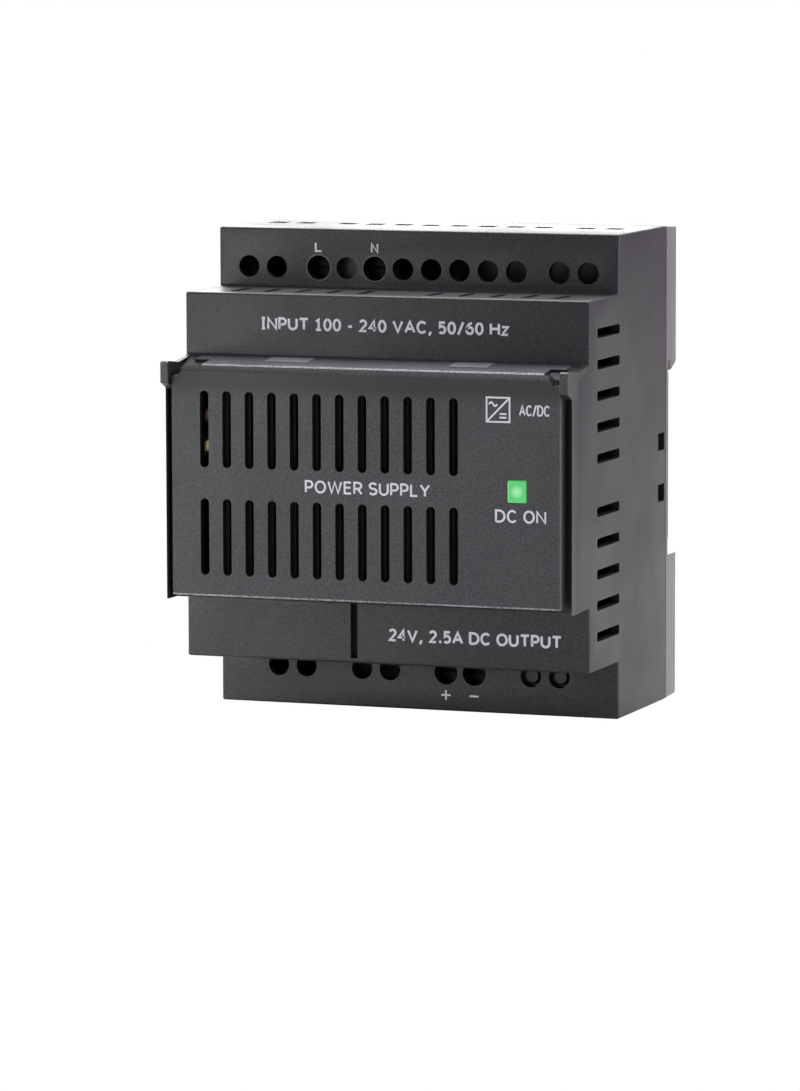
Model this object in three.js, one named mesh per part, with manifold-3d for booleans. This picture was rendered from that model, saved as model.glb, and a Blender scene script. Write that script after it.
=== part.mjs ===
// DIN rail power supply: a stepped housing on a 35 mm rail, with its hinged vent flap, its latch,
// its screw terminals and the circuit board inside.
// Millimetres. +X is to the right, +Y back towards the rail, +Z up.
// The origin is on the rail's front face, on the rail's centre line.
import * as THREE from "three";
import { mergeVertices } from "three/addons/utils/BufferGeometryUtils.js";
import Module from "manifold-3d";

const wasm = await Module();
wasm.setup();

// ---- driving dimensions; heights inside the housing group are from the housing's middle ----
const WIDTH = 79.2;
const HEIGHT = 90;
const RAIL_ABOVE_MIDDLE = 1.75; // the rail's centre line, above the housing's middle
const WALL = 1.8;
const GAP = 0.3; // between pieces that meet
const TERMINAL_FRONT = -30; // y of the four stepped fronts, from the rail's face
const PORT_FRONT = -47;
const BEZEL_FRONT = -53.5;
const FLAP_FRONT = -58.5;
const WALL_FRONT = -57; // the side walls' thin front edge, beside the flap
const SHELL_BACK = -1.6; // the parting line
const BLOCK_BACK = 5; // the rear blocks that reach past the rail
const TERMINAL_STEP_TOP = 33.9; // heights of the steps
const TERMINAL_STEP_BOTTOM = -34.3;
const PORT_STEP_TOP = 22.3;
const PORT_STEP_BOTTOM = -22.4;
const RAIL_WIDTH = 35;
const RAIL_FLANGE = 1; // its sheet
const HOLE_PITCH = 5.6;
const HOLE_HEIGHT = 37.7;
const HOLE_RADIUS = 2.05;
const LABELLED_HOLE_RADIUS = 2.3;
const TOP_HOLES = [-6, -5, -3.5, -2.5, -1.5, -0.5, 0.5, 1.5, 2.5, 3.5, 5, 6]; // in pitches
const BOTTOM_HOLES = [-5, -4, -2, -1, 1, 2, 4, 5];
const BLANKED_HOLES = [4, 5]; // bottom holes with a blanking plug
const LIVE = [
  { name: "line", column: -3.5, side: 1 },
  { name: "neutral", column: -1.5, side: 1 },
  { name: "plus", column: 1, side: -1 },
  { name: "minus", column: 2, side: -1 },
];
const ENTRY = [-16, -12.4]; // y of the wire entries in the top and bottom faces
const ENTRY_WIDTH = 3.4;
const HINGE = { y: -57.6, z: 18.4, radius: 0.9, reach: 2.8 };
const LENS_X = 29.6;
const TRIMMER = { x: 29.6, z: -9.4 };
const BOARD_FRONT = -6.2;
const BOARD_BACK = -4.6;
const BOSSES = [
  [-33, -37],
  [-33, 37],
  [33, -37],
  [33, 37],
]; // x and height of the board's mounting bosses
const LATCH_TRAVEL = 4;

const half = WIDTH / 2;
const top = HEIGHT / 2;

// ---- shapes ----
const AXES = {
  x: [new THREE.Vector3(0, 1, 0), new THREE.Vector3(0, 0, 1), new THREE.Vector3(1, 0, 0)],
  y: [new THREE.Vector3(0, 0, 1), new THREE.Vector3(1, 0, 0), new THREE.Vector3(0, 1, 0)],
  z: [new THREE.Vector3(1, 0, 0), new THREE.Vector3(0, 1, 0), new THREE.Vector3(0, 0, 1)],
};

// A closed three.js geometry as a manifold-3d solid.
function solid(geometry) {
  const bare = geometry.index ? geometry.toNonIndexed() : geometry.clone();
  bare.deleteAttribute("normal");
  bare.deleteAttribute("uv");
  const merged = mergeVertices(bare, 1e-4);
  return new wasm.Manifold(
    new wasm.Mesh({
      numProp: 3,
      vertProperties: new Float32Array(merged.attributes.position.array),
      triVerts: new Uint32Array(merged.index.array),
    }),
  );
}

// An outline extruded along an axis. Across x it is (y, z), across y it is (x, z), across z it is (x, y).
function prism(axis, outline, from, to, steps = 6) {
  const shape = outline instanceof THREE.Shape
    ? outline
    : new THREE.Shape(outline.map(([a, b]) => new THREE.Vector2(a, b)));
  if (axis === "y") {
    const points = shape.getPoints(steps);
    return prismAlongY(points, shape.holes, from, to, steps);
  }
  const made = new THREE.ExtrudeGeometry(shape, {
    depth: to - from,
    bevelEnabled: false,
    curveSegments: steps,
  });
  made.translate(0, 0, from);
  made.applyMatrix4(new THREE.Matrix4().makeBasis(...AXES[axis]));
  return solid(made);
}

// The outline's (x, z) becomes (z, x), so that the turn to the y axis mirrors nothing.
function prismAlongY(points, holes, from, to, steps) {
  const swap = (list) => list.map((p) => new THREE.Vector2(p.y, p.x));
  const shape = new THREE.Shape(swap(points));
  holes.forEach((hole) => shape.holes.push(new THREE.Path(swap(hole.getPoints(steps)))));
  const made = new THREE.ExtrudeGeometry(shape, { depth: to - from, bevelEnabled: false });
  made.translate(0, 0, from);
  made.applyMatrix4(new THREE.Matrix4().makeBasis(...AXES.y));
  return solid(made);
}

function box(x0, x1, y0, y1, z0, z1) {
  const made = new THREE.BoxGeometry(x1 - x0, y1 - y0, z1 - z0);
  made.translate((x0 + x1) / 2, (y0 + y1) / 2, (z0 + z1) / 2);
  return solid(made);
}

// A rod along an axis, centred on (a, b) of the other two, in the order that prism takes them.
function rod(axis, a, b, radius, from, to, sides = 16, farRadius = radius) {
  const made = new THREE.CylinderGeometry(farRadius, radius, to - from, sides);
  if (axis === "z") made.rotateX(Math.PI / 2);
  if (axis === "x") made.rotateZ(-Math.PI / 2);
  const middle = (from + to) / 2;
  const place = { x: [middle, a, b], y: [a, middle, b], z: [a, b, middle] }[axis];
  made.translate(...place);
  return solid(made);
}

// A rounded rectangle about (0, 0).
function rounded(width, height, radius) {
  const w = width / 2;
  const h = height / 2;
  const shape = new THREE.Shape();
  shape.moveTo(-w + radius, -h);
  shape.lineTo(w - radius, -h);
  shape.absarc(w - radius, -h + radius, radius, -Math.PI / 2, 0, false);
  shape.lineTo(w, h - radius);
  shape.absarc(w - radius, h - radius, radius, 0, Math.PI / 2, false);
  shape.lineTo(-w + radius, h);
  shape.absarc(-w + radius, h - radius, radius, Math.PI / 2, Math.PI, false);
  shape.lineTo(-w, -h + radius);
  shape.absarc(-w + radius, -h + radius, radius, Math.PI, Math.PI * 1.5, false);
  return shape;
}

const join = (pieces) => wasm.Manifold.union(pieces);
const cut = (piece, tools) => wasm.Manifold.difference([piece, ...tools]);
const bothSides = [-1, 1];

// ---- materials ----
const paint = (color, roughness, metalness = 0, more = {}) =>
  new THREE.MeshStandardMaterial({ color, roughness, metalness, ...more });
const PLASTIC = paint(0x4a494d, 0.62);
const REAR_PLASTIC = paint(0x7b777b, 0.62);
const FLAP_PLASTIC = paint(0x54565c, 0.6);
const BLACK_PLASTIC = paint(0x121214, 0.55);
const LENS = paint(0x3fae5c, 0.25, 0, { transparent: true, opacity: 0.85 });
const STEEL = paint(0xb9bcc0, 0.35, 1);
const BLACK_STEEL = paint(0x1f1f21, 0.5, 1);
const BRASS = paint(0xc8b06a, 0.35, 1);
const BLOCK_PLASTIC = paint(0x101311, 0.55);
const BOARD = paint(0x2f5a35, 0.5);
const SHEET = paint(0xd9c892, 0.8);
const FERRITE = paint(0x2b2b2e, 0.7);
const TAPE = paint(0xe2c66a, 0.5);
const SLEEVE = paint(0x23262d, 0.4);
const FILM = paint(0xd7a79b, 0.5);
const DISC = paint(0x3f6fb0, 0.5);
const COPPER = paint(0xb56a3a, 0.3, 1);
const EPOXY = paint(0x17171a, 0.5);
const CERAMIC = paint(0xe6ddc8, 0.6);
const BLACK_ALUMINIUM = paint(0x35363a, 0.45, 1);
const BLUE_BODY = paint(0x2f5fa8, 0.45);
const LED_BODY = paint(0x58c070, 0.3);

// ---- the object ----
const device = new THREE.Group();
const housing = new THREE.Group(); // its zero height is the housing's middle
housing.position.z = -RAIL_ABOVE_MIDDLE;
device.add(housing);

function add(name, piece, material) {
  const made = piece.getMesh();
  const stride = made.numProp;
  const points = new Float32Array(made.numVert * 3);
  for (let i = 0; i < made.numVert; i++) {
    points.set(made.vertProperties.subarray(i * stride, i * stride + 3), i * 3);
  }
  const geometry = new THREE.BufferGeometry();
  geometry.setAttribute("position", new THREE.BufferAttribute(points, 3));
  geometry.setIndex(new THREE.BufferAttribute(new Uint32Array(made.triVerts), 1));
  geometry.computeVertexNormals();
  const mesh = new THREE.Mesh(geometry, material);
  mesh.name = name;
  housing.add(mesh);
}

// ---- housing shell: the stepped front half, open at the back ----
function shellOutline(inset) {
  const back = SHELL_BACK + (inset ? 1 : 0);
  return [
    [back, -top + inset],
    [TERMINAL_FRONT + inset, -top + inset],
    [TERMINAL_FRONT + inset, TERMINAL_STEP_BOTTOM + inset],
    [PORT_FRONT + inset, TERMINAL_STEP_BOTTOM + inset],
    [PORT_FRONT + inset, PORT_STEP_BOTTOM + inset],
    [BEZEL_FRONT + inset, PORT_STEP_BOTTOM + inset],
    [BEZEL_FRONT + inset, PORT_STEP_TOP - 2.2 - inset],
    [PORT_FRONT + inset, PORT_STEP_TOP - inset],
    [PORT_FRONT + inset, TERMINAL_STEP_TOP - inset],
    [TERMINAL_FRONT + inset, TERMINAL_STEP_TOP - inset],
    [TERMINAL_FRONT + inset, top - inset],
    [back, top - inset],
  ];
}

// The ledge over the flap slopes forward to a lip that clears the flap's rounded top.
function flapLedge() {
  const lip = HINGE.y + HINGE.reach + GAP;
  return prism(
    "x",
    [
      [PORT_FRONT + 1, PORT_STEP_TOP],
      [PORT_FRONT, PORT_STEP_TOP],
      [lip, PORT_STEP_TOP - 1.1],
      [lip, PORT_STEP_TOP - 2.9],
      [PORT_FRONT + 1, PORT_STEP_TOP - 2.9],
    ],
    -half,
    half,
  );
}

// Each side wall runs on past the bezel to a thin edge, with a hinge ear at its top.
function sideLip(side) {
  const lip = prism(
    "z",
    [
      [side * half, BEZEL_FRONT + 1],
      [side * half, WALL_FRONT],
      [side * (half - 0.8), WALL_FRONT + 0.8],
      [side * (half - 0.8), BEZEL_FRONT + 1],
    ],
    PORT_STEP_BOTTOM,
    PORT_STEP_TOP - 1.4,
  );
  const ear = prism(
    "x",
    [
      [BEZEL_FRONT, 16.2],
      [WALL_FRONT, 16.8],
      [-59.6, 18],
      [-59.6, 21.7],
      [-59, 22],
      [BEZEL_FRONT, 21.4],
    ],
    side > 0 ? half - 1.6 : -half,
    side > 0 ? half : -half + 1.6,
  );
  const bore = rod("x", HINGE.y, HINGE.z, HINGE.radius + 0.15, -half + 0.5, half - 0.5);
  return cut(join([lip, ear]), [bore]);
}

function sideVents() {
  const upper = [27.7, 21.95, 16.2, 10.45, 4.7];
  const lower = [-5.1, -10.85, -16.6, -22.35, -28.1];
  const vents = [...upper, ...lower].map((z) => box(-half - 1, half + 1, -42.6, -29.6, z - 0.9, z + 0.9));
  const snapWindows = [4.4, -5.3].map((z) =>
    box(-half - 1, half + 1, -6.3, -2.5, z - 1.65, z + 1.65),
  );
  return [...vents, ...snapWindows];
}

function ledgeVents() {
  const slots = [];
  for (const side of bothSides) {
    for (let i = 0; i < 5; i++) {
      const x = side * (6.8 + 6.2 * i);
      const upper = [TERMINAL_STEP_TOP - WALL - 1, TERMINAL_STEP_TOP + 1];
      const lower = [TERMINAL_STEP_BOTTOM - 1, TERMINAL_STEP_BOTTOM + WALL + 1];
      slots.push(box(x - 0.8, x + 0.8, -42.7, -35.1, ...upper));
      slots.push(box(x - 0.8, x + 0.8, -42.7, -35.1, ...lower));
    }
  }
  return slots;
}

function terminalOpenings() {
  const openings = [];
  const rows = [
    [TOP_HOLES, 1],
    [BOTTOM_HOLES, -1],
  ];
  for (const [columns, side] of rows) {
    for (const column of columns) {
      const x = column * HOLE_PITCH;
      const live = LIVE.some((t) => t.column === column && t.side === side);
      const radius = live ? LABELLED_HOLE_RADIUS : HOLE_RADIUS;
      const z = side * HOLE_HEIGHT;
      openings.push(rod("y", x, z, radius, TERMINAL_FRONT - 1, TERMINAL_FRONT + WALL + 1, 20));
      const [low, high] = side > 0 ? [top - WALL - 1, top + 1] : [-top - 1, -top + WALL + 1];
      openings.push(box(x - ENTRY_WIDTH / 2, x + ENTRY_WIDTH / 2, ...ENTRY, low, high));
    }
  }
  return openings;
}

// The bezel behind the flap: two grilles' worth of open windows, with a strip left for the indicator.
function bezelOpenings() {
  const windows = [
    [2, 17],
    [-18, -3],
  ];
  const tools = windows.map(([low, high]) => box(-34, 19, BEZEL_FRONT - 1, BEZEL_FRONT + WALL + 1, low, high));
  const y = [BEZEL_FRONT - 1, BEZEL_FRONT + WALL + 1];
  tools.push(box(LENS_X - 2, LENS_X + 2, ...y, -2.2, 2.2));
  tools.push(rod("y", TRIMMER.x, TRIMMER.z, 2.6, ...y));
  return tools;
}

const COVER = { left: -32.8, right: -7.6, bottom: -33.4, top: -24.2, depth: 1 };

const coverPocket = box(
  COVER.left - 0.15,
  COVER.right + 1.2,
  PORT_FRONT - 1,
  PORT_FRONT + COVER.depth + 0.15,
  COVER.bottom - 0.15,
  COVER.top + 0.15,
);
const outer = prism("x", shellOutline(0), -half, half);
const inner = prism("x", shellOutline(WALL), -half + WALL, half - WALL);
const shellBody = cut(join([cut(outer, [inner]), flapLedge()]), [
  coverPocket,
  ...sideVents(),
  ...ledgeVents(),
  ...terminalOpenings(),
  ...bezelOpenings(),
]);
add("housing_shell", join([shellBody, sideLip(-1), sideLip(1)]), PLASTIC);

// ---- port cover: a thin blanking plate beside its pry groove ----
add(
  "port_cover",
  box(COVER.left, COVER.right, PORT_FRONT, PORT_FRONT + COVER.depth, COVER.bottom, COVER.top),
  PLASTIC,
);

// ---- vent flap, hinged at its top corners, and its indicator lens ----
function flap() {
  const flapHalf = 37.75;
  const backFace = FLAP_FRONT + 3.3;
  const arc = [];
  for (const degrees of [86, 72, 58, 44, 31]) {
    const angle = (degrees * Math.PI) / 180;
    arc.push([HINGE.y + HINGE.reach * Math.cos(angle), HINGE.z + HINGE.reach * Math.sin(angle)]);
  }
  const plate = prism(
    "x",
    [[FLAP_FRONT, -21.4], [FLAP_FRONT, 20.2], [FLAP_FRONT + 0.9, 21.19], ...arc, [backFace, -21.4]],
    -flapHalf,
    flapHalf,
  );
  const hollow = box(-flapHalf + 1.2, flapHalf - 1.2, FLAP_FRONT + 1.8, backFace + 2, -20.2, 17);
  const tools = [hollow];
  for (let i = 0; i < 12; i++) {
    const x = -31.3 + 4.43 * i;
    for (const middle of [9.55, -10.4]) {
      const slot = prism("y", rounded(1.6, 14.2, 0.7), FLAP_FRONT - 1, FLAP_FRONT + 3, 3);
      tools.push(slot.translate([x, 0, middle]));
    }
  }
  tools.push(box(LENS_X - 1.95, LENS_X + 1.95, FLAP_FRONT - 1, FLAP_FRONT + 3, -2.2, 2.2));
  for (const side of bothSides) {
    const corner = [
      [side * (flapHalf + 1), 19.3],
      [side * (flapHalf - 1.2), 19.3],
      [side * (flapHalf - 3), 22],
      [side * (flapHalf + 1), 22],
    ];
    tools.push(prism("y", corner, FLAP_FRONT - 1, backFace + 1));
  }
  const pin = rod("x", HINGE.y, HINGE.z, HINGE.radius, -half + 0.8, half - 0.8);
  const pinClear = box(-flapHalf + 1, flapHalf - 1, FLAP_FRONT - 1, FLAP_FRONT + 4, 10, 20);
  return join([cut(plate, tools), cut(pin, [pinClear])]);
}
add("front_flap", flap(), FLAP_PLASTIC);
add("led_lens", box(LENS_X - 1.8, LENS_X + 1.8, FLAP_FRONT - 0.1, FLAP_FRONT + 2.2, -2.05, 2.05), LENS);

// ---- rear base: closes the shell, seats on the rail, and guides the latch ----
const upperSeat = RAIL_ABOVE_MIDDLE + RAIL_WIDTH / 2 + 0.15; // just past the rail's upper edge
const lowerSeat = RAIL_ABOVE_MIDDLE - RAIL_WIDTH / 2 - 1.75;
const LATCH = { front: 1.4, back: 4.1, stem: 7, nose: 38, noseTop: -14.9, shoulder: -23 };

function rearBase() {
  // The rail bears on a raised pad; the floor steps back under the hook and the latch's nose.
  const relief = -0.3;
  const [padLow, padHigh] = [LATCH.noseTop + 0.5, upperSeat - 2.2];
  const hook = [
    [SHELL_BACK + GAP, top],
    [SHELL_BACK + GAP, -top],
    [BLOCK_BACK, -top + 0.3],
    [BLOCK_BACK, lowerSeat],
    [relief, lowerSeat],
    [relief, padLow],
    [0, padLow],
    [0, padHigh],
    [relief, padHigh],
    [relief, upperSeat],
    [RAIL_FLANGE + 0.25, upperSeat],
    [RAIL_FLANGE + 0.25, upperSeat - 1.9],
    [BLOCK_BACK, upperSeat - 0.2],
    [BLOCK_BACK, top - 0.3],
  ];
  const body = prism("x", hook, -half, half);
  const spigot = box(-half + WALL + GAP, half - WALL - GAP, SHELL_BACK - 1.2, SHELL_BACK + 1, -42.8, 42.8);
  const bosses = BOSSES.map(([x, z]) => rod("y", x, z, 2.5, BOARD_BACK + 0.1, SHELL_BACK, 12));
  const bossBores = BOSSES.map(([x, z]) => rod("y", x, z, 1.25, BOARD_BACK - 1, -2, 12));
  const clear = 0.3;
  const latchPath = [
    box(-LATCH.stem - clear, LATCH.stem + clear, LATCH.front - clear, BLOCK_BACK + 1, -top - 1, lowerSeat + 1),
    box(
      -LATCH.nose - clear,
      LATCH.nose + clear,
      LATCH.front - clear,
      BLOCK_BACK + 1,
      LATCH.shoulder - LATCH_TRAVEL - clear,
      lowerSeat + 1,
    ),
  ];
  const groove = box(-17, 17, 1.5, 2.2, top - 0.6, top + 1);
  const retainers = bothSides.map((side) =>
    box(
      side > 0 ? LATCH.stem - 1.6 : -LATCH.stem - 1,
      side > 0 ? LATCH.stem + 1 : -LATCH.stem + 1.6,
      LATCH.back + 0.2,
      BLOCK_BACK,
      -41.5,
      LATCH.shoulder - LATCH_TRAVEL - 1.3,
    ),
  );
  const springSeat = box(-1.2, 1.2, LATCH.front - clear - 0.2, LATCH.back - 0.2, -39.8, -38);
  const base = cut(join([body, spigot, ...bosses]), [...latchPath, groove, ...bossBores]);
  return join([base, ...retainers, springSeat]);
}
add("rear_base", rearBase(), REAR_PLASTIC);

// ---- latch: a wide nose under the rail's lower edge, a stem to the bottom, and its return spring ----
const springTop = -28;
const springBottom = -37.7;

function latch() {
  const nose = prism(
    "x",
    [
      [LATCH.front, LATCH.shoulder],
      [LATCH.back, LATCH.shoulder],
      [LATCH.back, LATCH.noseTop - 2.2],
      [LATCH.front + 0.8, LATCH.noseTop],
      [LATCH.front, LATCH.noseTop],
    ],
    -LATCH.nose,
    LATCH.nose,
  );
  const stem = box(-LATCH.stem, LATCH.stem, LATCH.front, LATCH.back, -top + 0.5, LATCH.shoulder + 1);
  const springWindow = box(-1.8, 1.8, LATCH.front - 1, LATCH.back + 1, -40.1, springTop + GAP);
  const pull = box(-2.6, 2.6, LATCH.front - 1, LATCH.back + 1, -43.7, -42);
  return cut(join([nose, stem]), [springWindow, pull]);
}
add("din_latch", latch(), BLACK_PLASTIC);

function coilSpring() {
  const turns = 5;
  const radius = 1.05;
  const wire = 0.22;
  const middle = (LATCH.front + LATCH.back) / 2;
  class Helix extends THREE.Curve {
    getPoint(t, target = new THREE.Vector3()) {
      const angle = 2 * Math.PI * turns * t;
      const rise = springBottom + wire + (springTop - springBottom - 2 * wire) * t;
      return target.set(radius * Math.cos(angle), middle + radius * Math.sin(angle), rise);
    }
  }
  const section = new THREE.Shape();
  section.absarc(0, 0, wire, 0, Math.PI * 2, false);
  const made = new THREE.ExtrudeGeometry(section, {
    steps: turns * 10,
    extrudePath: new Helix(),
    curveSegments: 3,
    bevelEnabled: false,
  });
  return solid(made);
}
add("latch_spring", coilSpring(), STEEL);

// ---- screw terminals: a captive screw drives a clamp cage up to a fixed contact bar ----
const SCREW = { headFront: -26.9, headBack: -24.7, headRadius: 1.9, shaft: 0.75, tip: -17.6 };
const CAGE = { front: -21.3, back: -11.8, half: 2.2, wall: 0.7, height: 4.6 };
const CAGE_TRAVEL = 3; // six turns of a 0.5 mm thread
const BAR = { front: -17.3, back: -16.5, half: 1.3 };

function terminalScrew(x, z) {
  const head = rod("y", x, z, SCREW.headRadius, SCREW.headFront, SCREW.headBack, 20);
  const shaft = rod("y", x, z, SCREW.shaft, SCREW.headBack - 0.5, SCREW.tip, 10);
  const slot = box(x - 2.5, x + 2.5, SCREW.headFront - 1, SCREW.headFront + 0.9, z - 0.3, z + 0.3);
  return join([cut(head, [slot]), shaft]);
}

function clampCage(x, z) {
  const body = box(x - CAGE.half, x + CAGE.half, CAGE.front, CAGE.back, z - CAGE.height / 2, z + CAGE.height / 2);
  const throat = box(
    x - CAGE.half + CAGE.wall,
    x + CAGE.half - CAGE.wall,
    CAGE.front + CAGE.wall,
    CAGE.back - CAGE.wall,
    z - CAGE.height,
    z + CAGE.height,
  );
  const thread = rod("y", x, z, SCREW.shaft + 0.12, CAGE.front - 1, CAGE.front + 2, 10);
  return cut(body, [throat, thread]);
}

// The bar runs from under the screw's tip, out past the cage towards the board, and down to its pin.
function contactBar(x, z, side) {
  const inward = -side;
  const reach = z + inward * 4.4;
  const [low, high] = [Math.min(z + side * 2.2, reach), Math.max(z + side * 2.2, reach)];
  const bar = box(x - BAR.half, x + BAR.half, BAR.front, BAR.back, low, high);
  const [pinLow, pinHigh] = [Math.min(reach, reach + side * 0.8), Math.max(reach, reach + side * 0.8)];
  const pin = box(x - 0.6, x + 0.6, BAR.front, BOARD_FRONT - 0.05, pinLow, pinHigh);
  return join([bar, pin]);
}

for (const { name, column, side } of LIVE) {
  const x = column * HOLE_PITCH;
  const z = side * HOLE_HEIGHT;
  add("terminal_screw_" + name, terminalScrew(x, z), BLACK_STEEL);
  add("clamp_cage_" + name, clampCage(x, z), STEEL);
  add("contact_bar_" + name, contactBar(x, z, side), BRASS);
}

// The insulating block around a row's clamps, open to the screws, the wires and the board.
function terminalBlock(terminals, x0, x1, side) {
  const [low, high] = side > 0 ? [31, 42.6] : [-42.6, -31];
  const tools = terminals.map(({ column }) => {
    const x = column * HOLE_PITCH;
    const z = side * HOLE_HEIGHT;
    const room = box(x - 2.5, x + 2.5, CAGE.front - CAGE_TRAVEL - GAP, -7, side > 0 ? 32.4 : -43, side > 0 ? 43 : -32.4);
    const well = rod("y", x, z, LABELLED_HOLE_RADIUS, -28, -20, 16);
    return join([room, well]);
  });
  return cut(box(x0, x1, -27.8, -8, low, high), tools);
}
add("input_terminal_block", terminalBlock(LIVE.slice(0, 2), -23.6, -4.4, 1), BLOCK_PLASTIC);
add("output_terminal_block", terminalBlock(LIVE.slice(2), 2, 15, -1), BLOCK_PLASTIC);

BLANKED_HOLES.forEach((column, i) => {
  const x = column * HOLE_PITCH;
  const flange = rod("y", x, -HOLE_HEIGHT, 2.5, -27.9, -26.9, 16);
  const dome = rod("y", x, -HOLE_HEIGHT, 1.2, -29.2, -27.6, 16, 1.75);
  add("blank_plug_" + (i + 1), join([flange, dome]), PLASTIC);
});

// ---- circuit board and what stands on it ----
const boardHoles = BOSSES.map(([x, z]) => rod("y", x, z, 1.4, -8, -4, 12));
const sheetHoles = BOSSES.map(([x, z]) => rod("y", x, z, 3, -8, -2, 12));
add("main_board", cut(box(-36.5, 36.5, BOARD_FRONT, BOARD_BACK, -41.5, 41.5), boardHoles), BOARD);
add("insulating_sheet", cut(box(-36, 36, -3.9, -3.5, -41, 41), sheetHoles), SHEET);
BOSSES.filter(([x, z]) => x * z < 0).forEach(([x, z], i) => {
  const head = rod("y", x, z, 2.3, BOARD_FRONT - 1.5, BOARD_FRONT - 0.1, 16);
  const shank = rod("y", x, z, 1.1, BOARD_FRONT - 0.5, -2.2, 12);
  const recess = rod("y", x, z, 1, BOARD_FRONT - 2.5, BOARD_FRONT - 0.8, 4);
  add("board_screw_" + (i + 1), join([cut(head, [recess]), shank]), STEEL);
});

const onBoard = BOARD_FRONT - GAP;
const block = (x, z, width, height, tall) =>
  box(x - width / 2, x + width / 2, onBoard - tall, onBoard, z - height / 2, z + height / 2);
const can = (x, z, radius, tall, sides = 20) => rod("y", x, z, radius, onBoard - tall, onBoard, sides);

// Transformer: a ferrite ring core around a taped winding, which is seen through the grille.
function transformer(x, z) {
  const window = box(x - 9, x + 9, onBoard - 25, onBoard - 5, z - 20, z + 20);
  add("transformer_core", cut(block(x, z, 27, 26, 30), [window]), FERRITE);
  add("transformer_winding", box(x - 8.6, x + 8.6, onBoard - 24.6, onBoard - 5.4, z - 11.6, z + 11.6), TAPE);
}
transformer(-4, -4);

// Common-mode choke: a ring core with a winding on each half.
function choke(x, z) {
  const ring = (radius, hole, tall, base) =>
    cut(rod("y", x, z, radius, onBoard - base - tall, onBoard - base, 24), [rod("y", x, z, hole, -30, 0, 16)]);
  add("choke_core", ring(8, 4.6, 7, 0), FERRITE);
  for (const side of bothSides) {
    const otherHalf = side > 0 ? [x - 20, x + 2.5] : [x - 2.5, x + 20];
    const winding = cut(ring(8.8, 4, 1.6, 7.2), [box(...otherHalf, -30, 0, z - 20, z + 20)]);
    add("choke_winding_" + (side > 0 ? "right" : "left"), winding, COPPER);
  }
}
choke(-12, 21.4);

// A heatsink is a plate with a folded front, with its transistor or diode on one face.
function heatsink(name, x, z, device, deviceLeft) {
  const low = z - 20.5;
  const plate = box(x, x + 1, onBoard - 34, onBoard, low, z);
  const fold = box(x, x + 4, onBoard - 34, onBoard - 33, low, z);
  add(name, join([plate, fold]), BLACK_ALUMINIUM);
  add(device, box(deviceLeft, deviceLeft + 4, onBoard - 20, onBoard - 5, z - 17, z - 7), EPOXY);
}
heatsink("primary_heatsink", -22.2, 0.5, "switching_transistor", -26.5);
heatsink("secondary_heatsink", 13.4, 0.5, "output_diode", 14.7);

add("bulk_capacitor", can(19.5, 12, 9, 34, 24), SLEEVE);
add("output_capacitor_1", can(24.2, -14, 5, 25), SLEEVE);
add("output_capacitor_2", can(24.2, -25.5, 5, 25), SLEEVE);
add("x_capacitor", block(-30, 20, 9, 18, 37), FILM);
add("y_capacitor", rod("x", -11, -25, 4, -19, -16, 16), DISC);
add("bridge_rectifier", block(22, 27, 20, 4, 15), EPOXY);
add("fuse", rod("z", -31.5, -10, 2.6, -9, 9, 12), CERAMIC);
add("thermistor", rod("x", -12, 24, 5, 0.5, 4.5, 16), EPOXY);
add("optocoupler", block(1, -22, 5, 7, 3.5), EPOXY);
add("control_ic", block(-7, -24, 8, 9, 3), EPOXY);
add("output_inductor", cut(can(11.5, -25.6, 5, 9, 20), [rod("y", 11.5, -25.6, 2, -30, 0, 12)]), FERRITE);

// The card that carries the indicator and the voltage trimmer up to the bezel.
const cardTop = -4.8;
const cardBottom = -6.4;
add("indicator_card", box(LENS_X - 4, LENS_X + 5, -50.2, onBoard, cardBottom, cardTop), BOARD);
const ledDome = rod("y", LENS_X, 0, 1.5, -52.6, -46.5, 16);
const ledLegs = box(LENS_X - 1.3, LENS_X + 1.3, -47, -46, cardTop + 0.2, 1);
add("status_led", join([ledDome, ledLegs]), LED_BODY);
const trimmerWell = rod("y", TRIMMER.x, TRIMMER.z, 2.2, -51, -46.6, 16);
const trimmerBlock = box(TRIMMER.x - 3.2, TRIMMER.x + 3.2, -50, -45.5, TRIMMER.z - 3, cardBottom - 0.2);
add("trimmer_body", cut(trimmerBlock, [trimmerWell]), BLUE_BODY);
const rotorSlot = box(TRIMMER.x - 3, TRIMMER.x + 3, -52, -50.1, TRIMMER.z - 0.3, TRIMMER.z + 0.3);
add("trimmer_rotor", cut(rod("y", TRIMMER.x, TRIMMER.z, 2, -50.8, -46.9, 16), [rotorSlot]), STEEL);

export default device;
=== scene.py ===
"""The look of the DIN rail power supply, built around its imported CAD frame.

Shapes are made in millimetres, with heights counted from the housing's middle, and are turned into
metres in the part's frame when they are finished.
"""
import math

import bmesh
import bpy
from mathutils import Matrix, Vector


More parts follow.
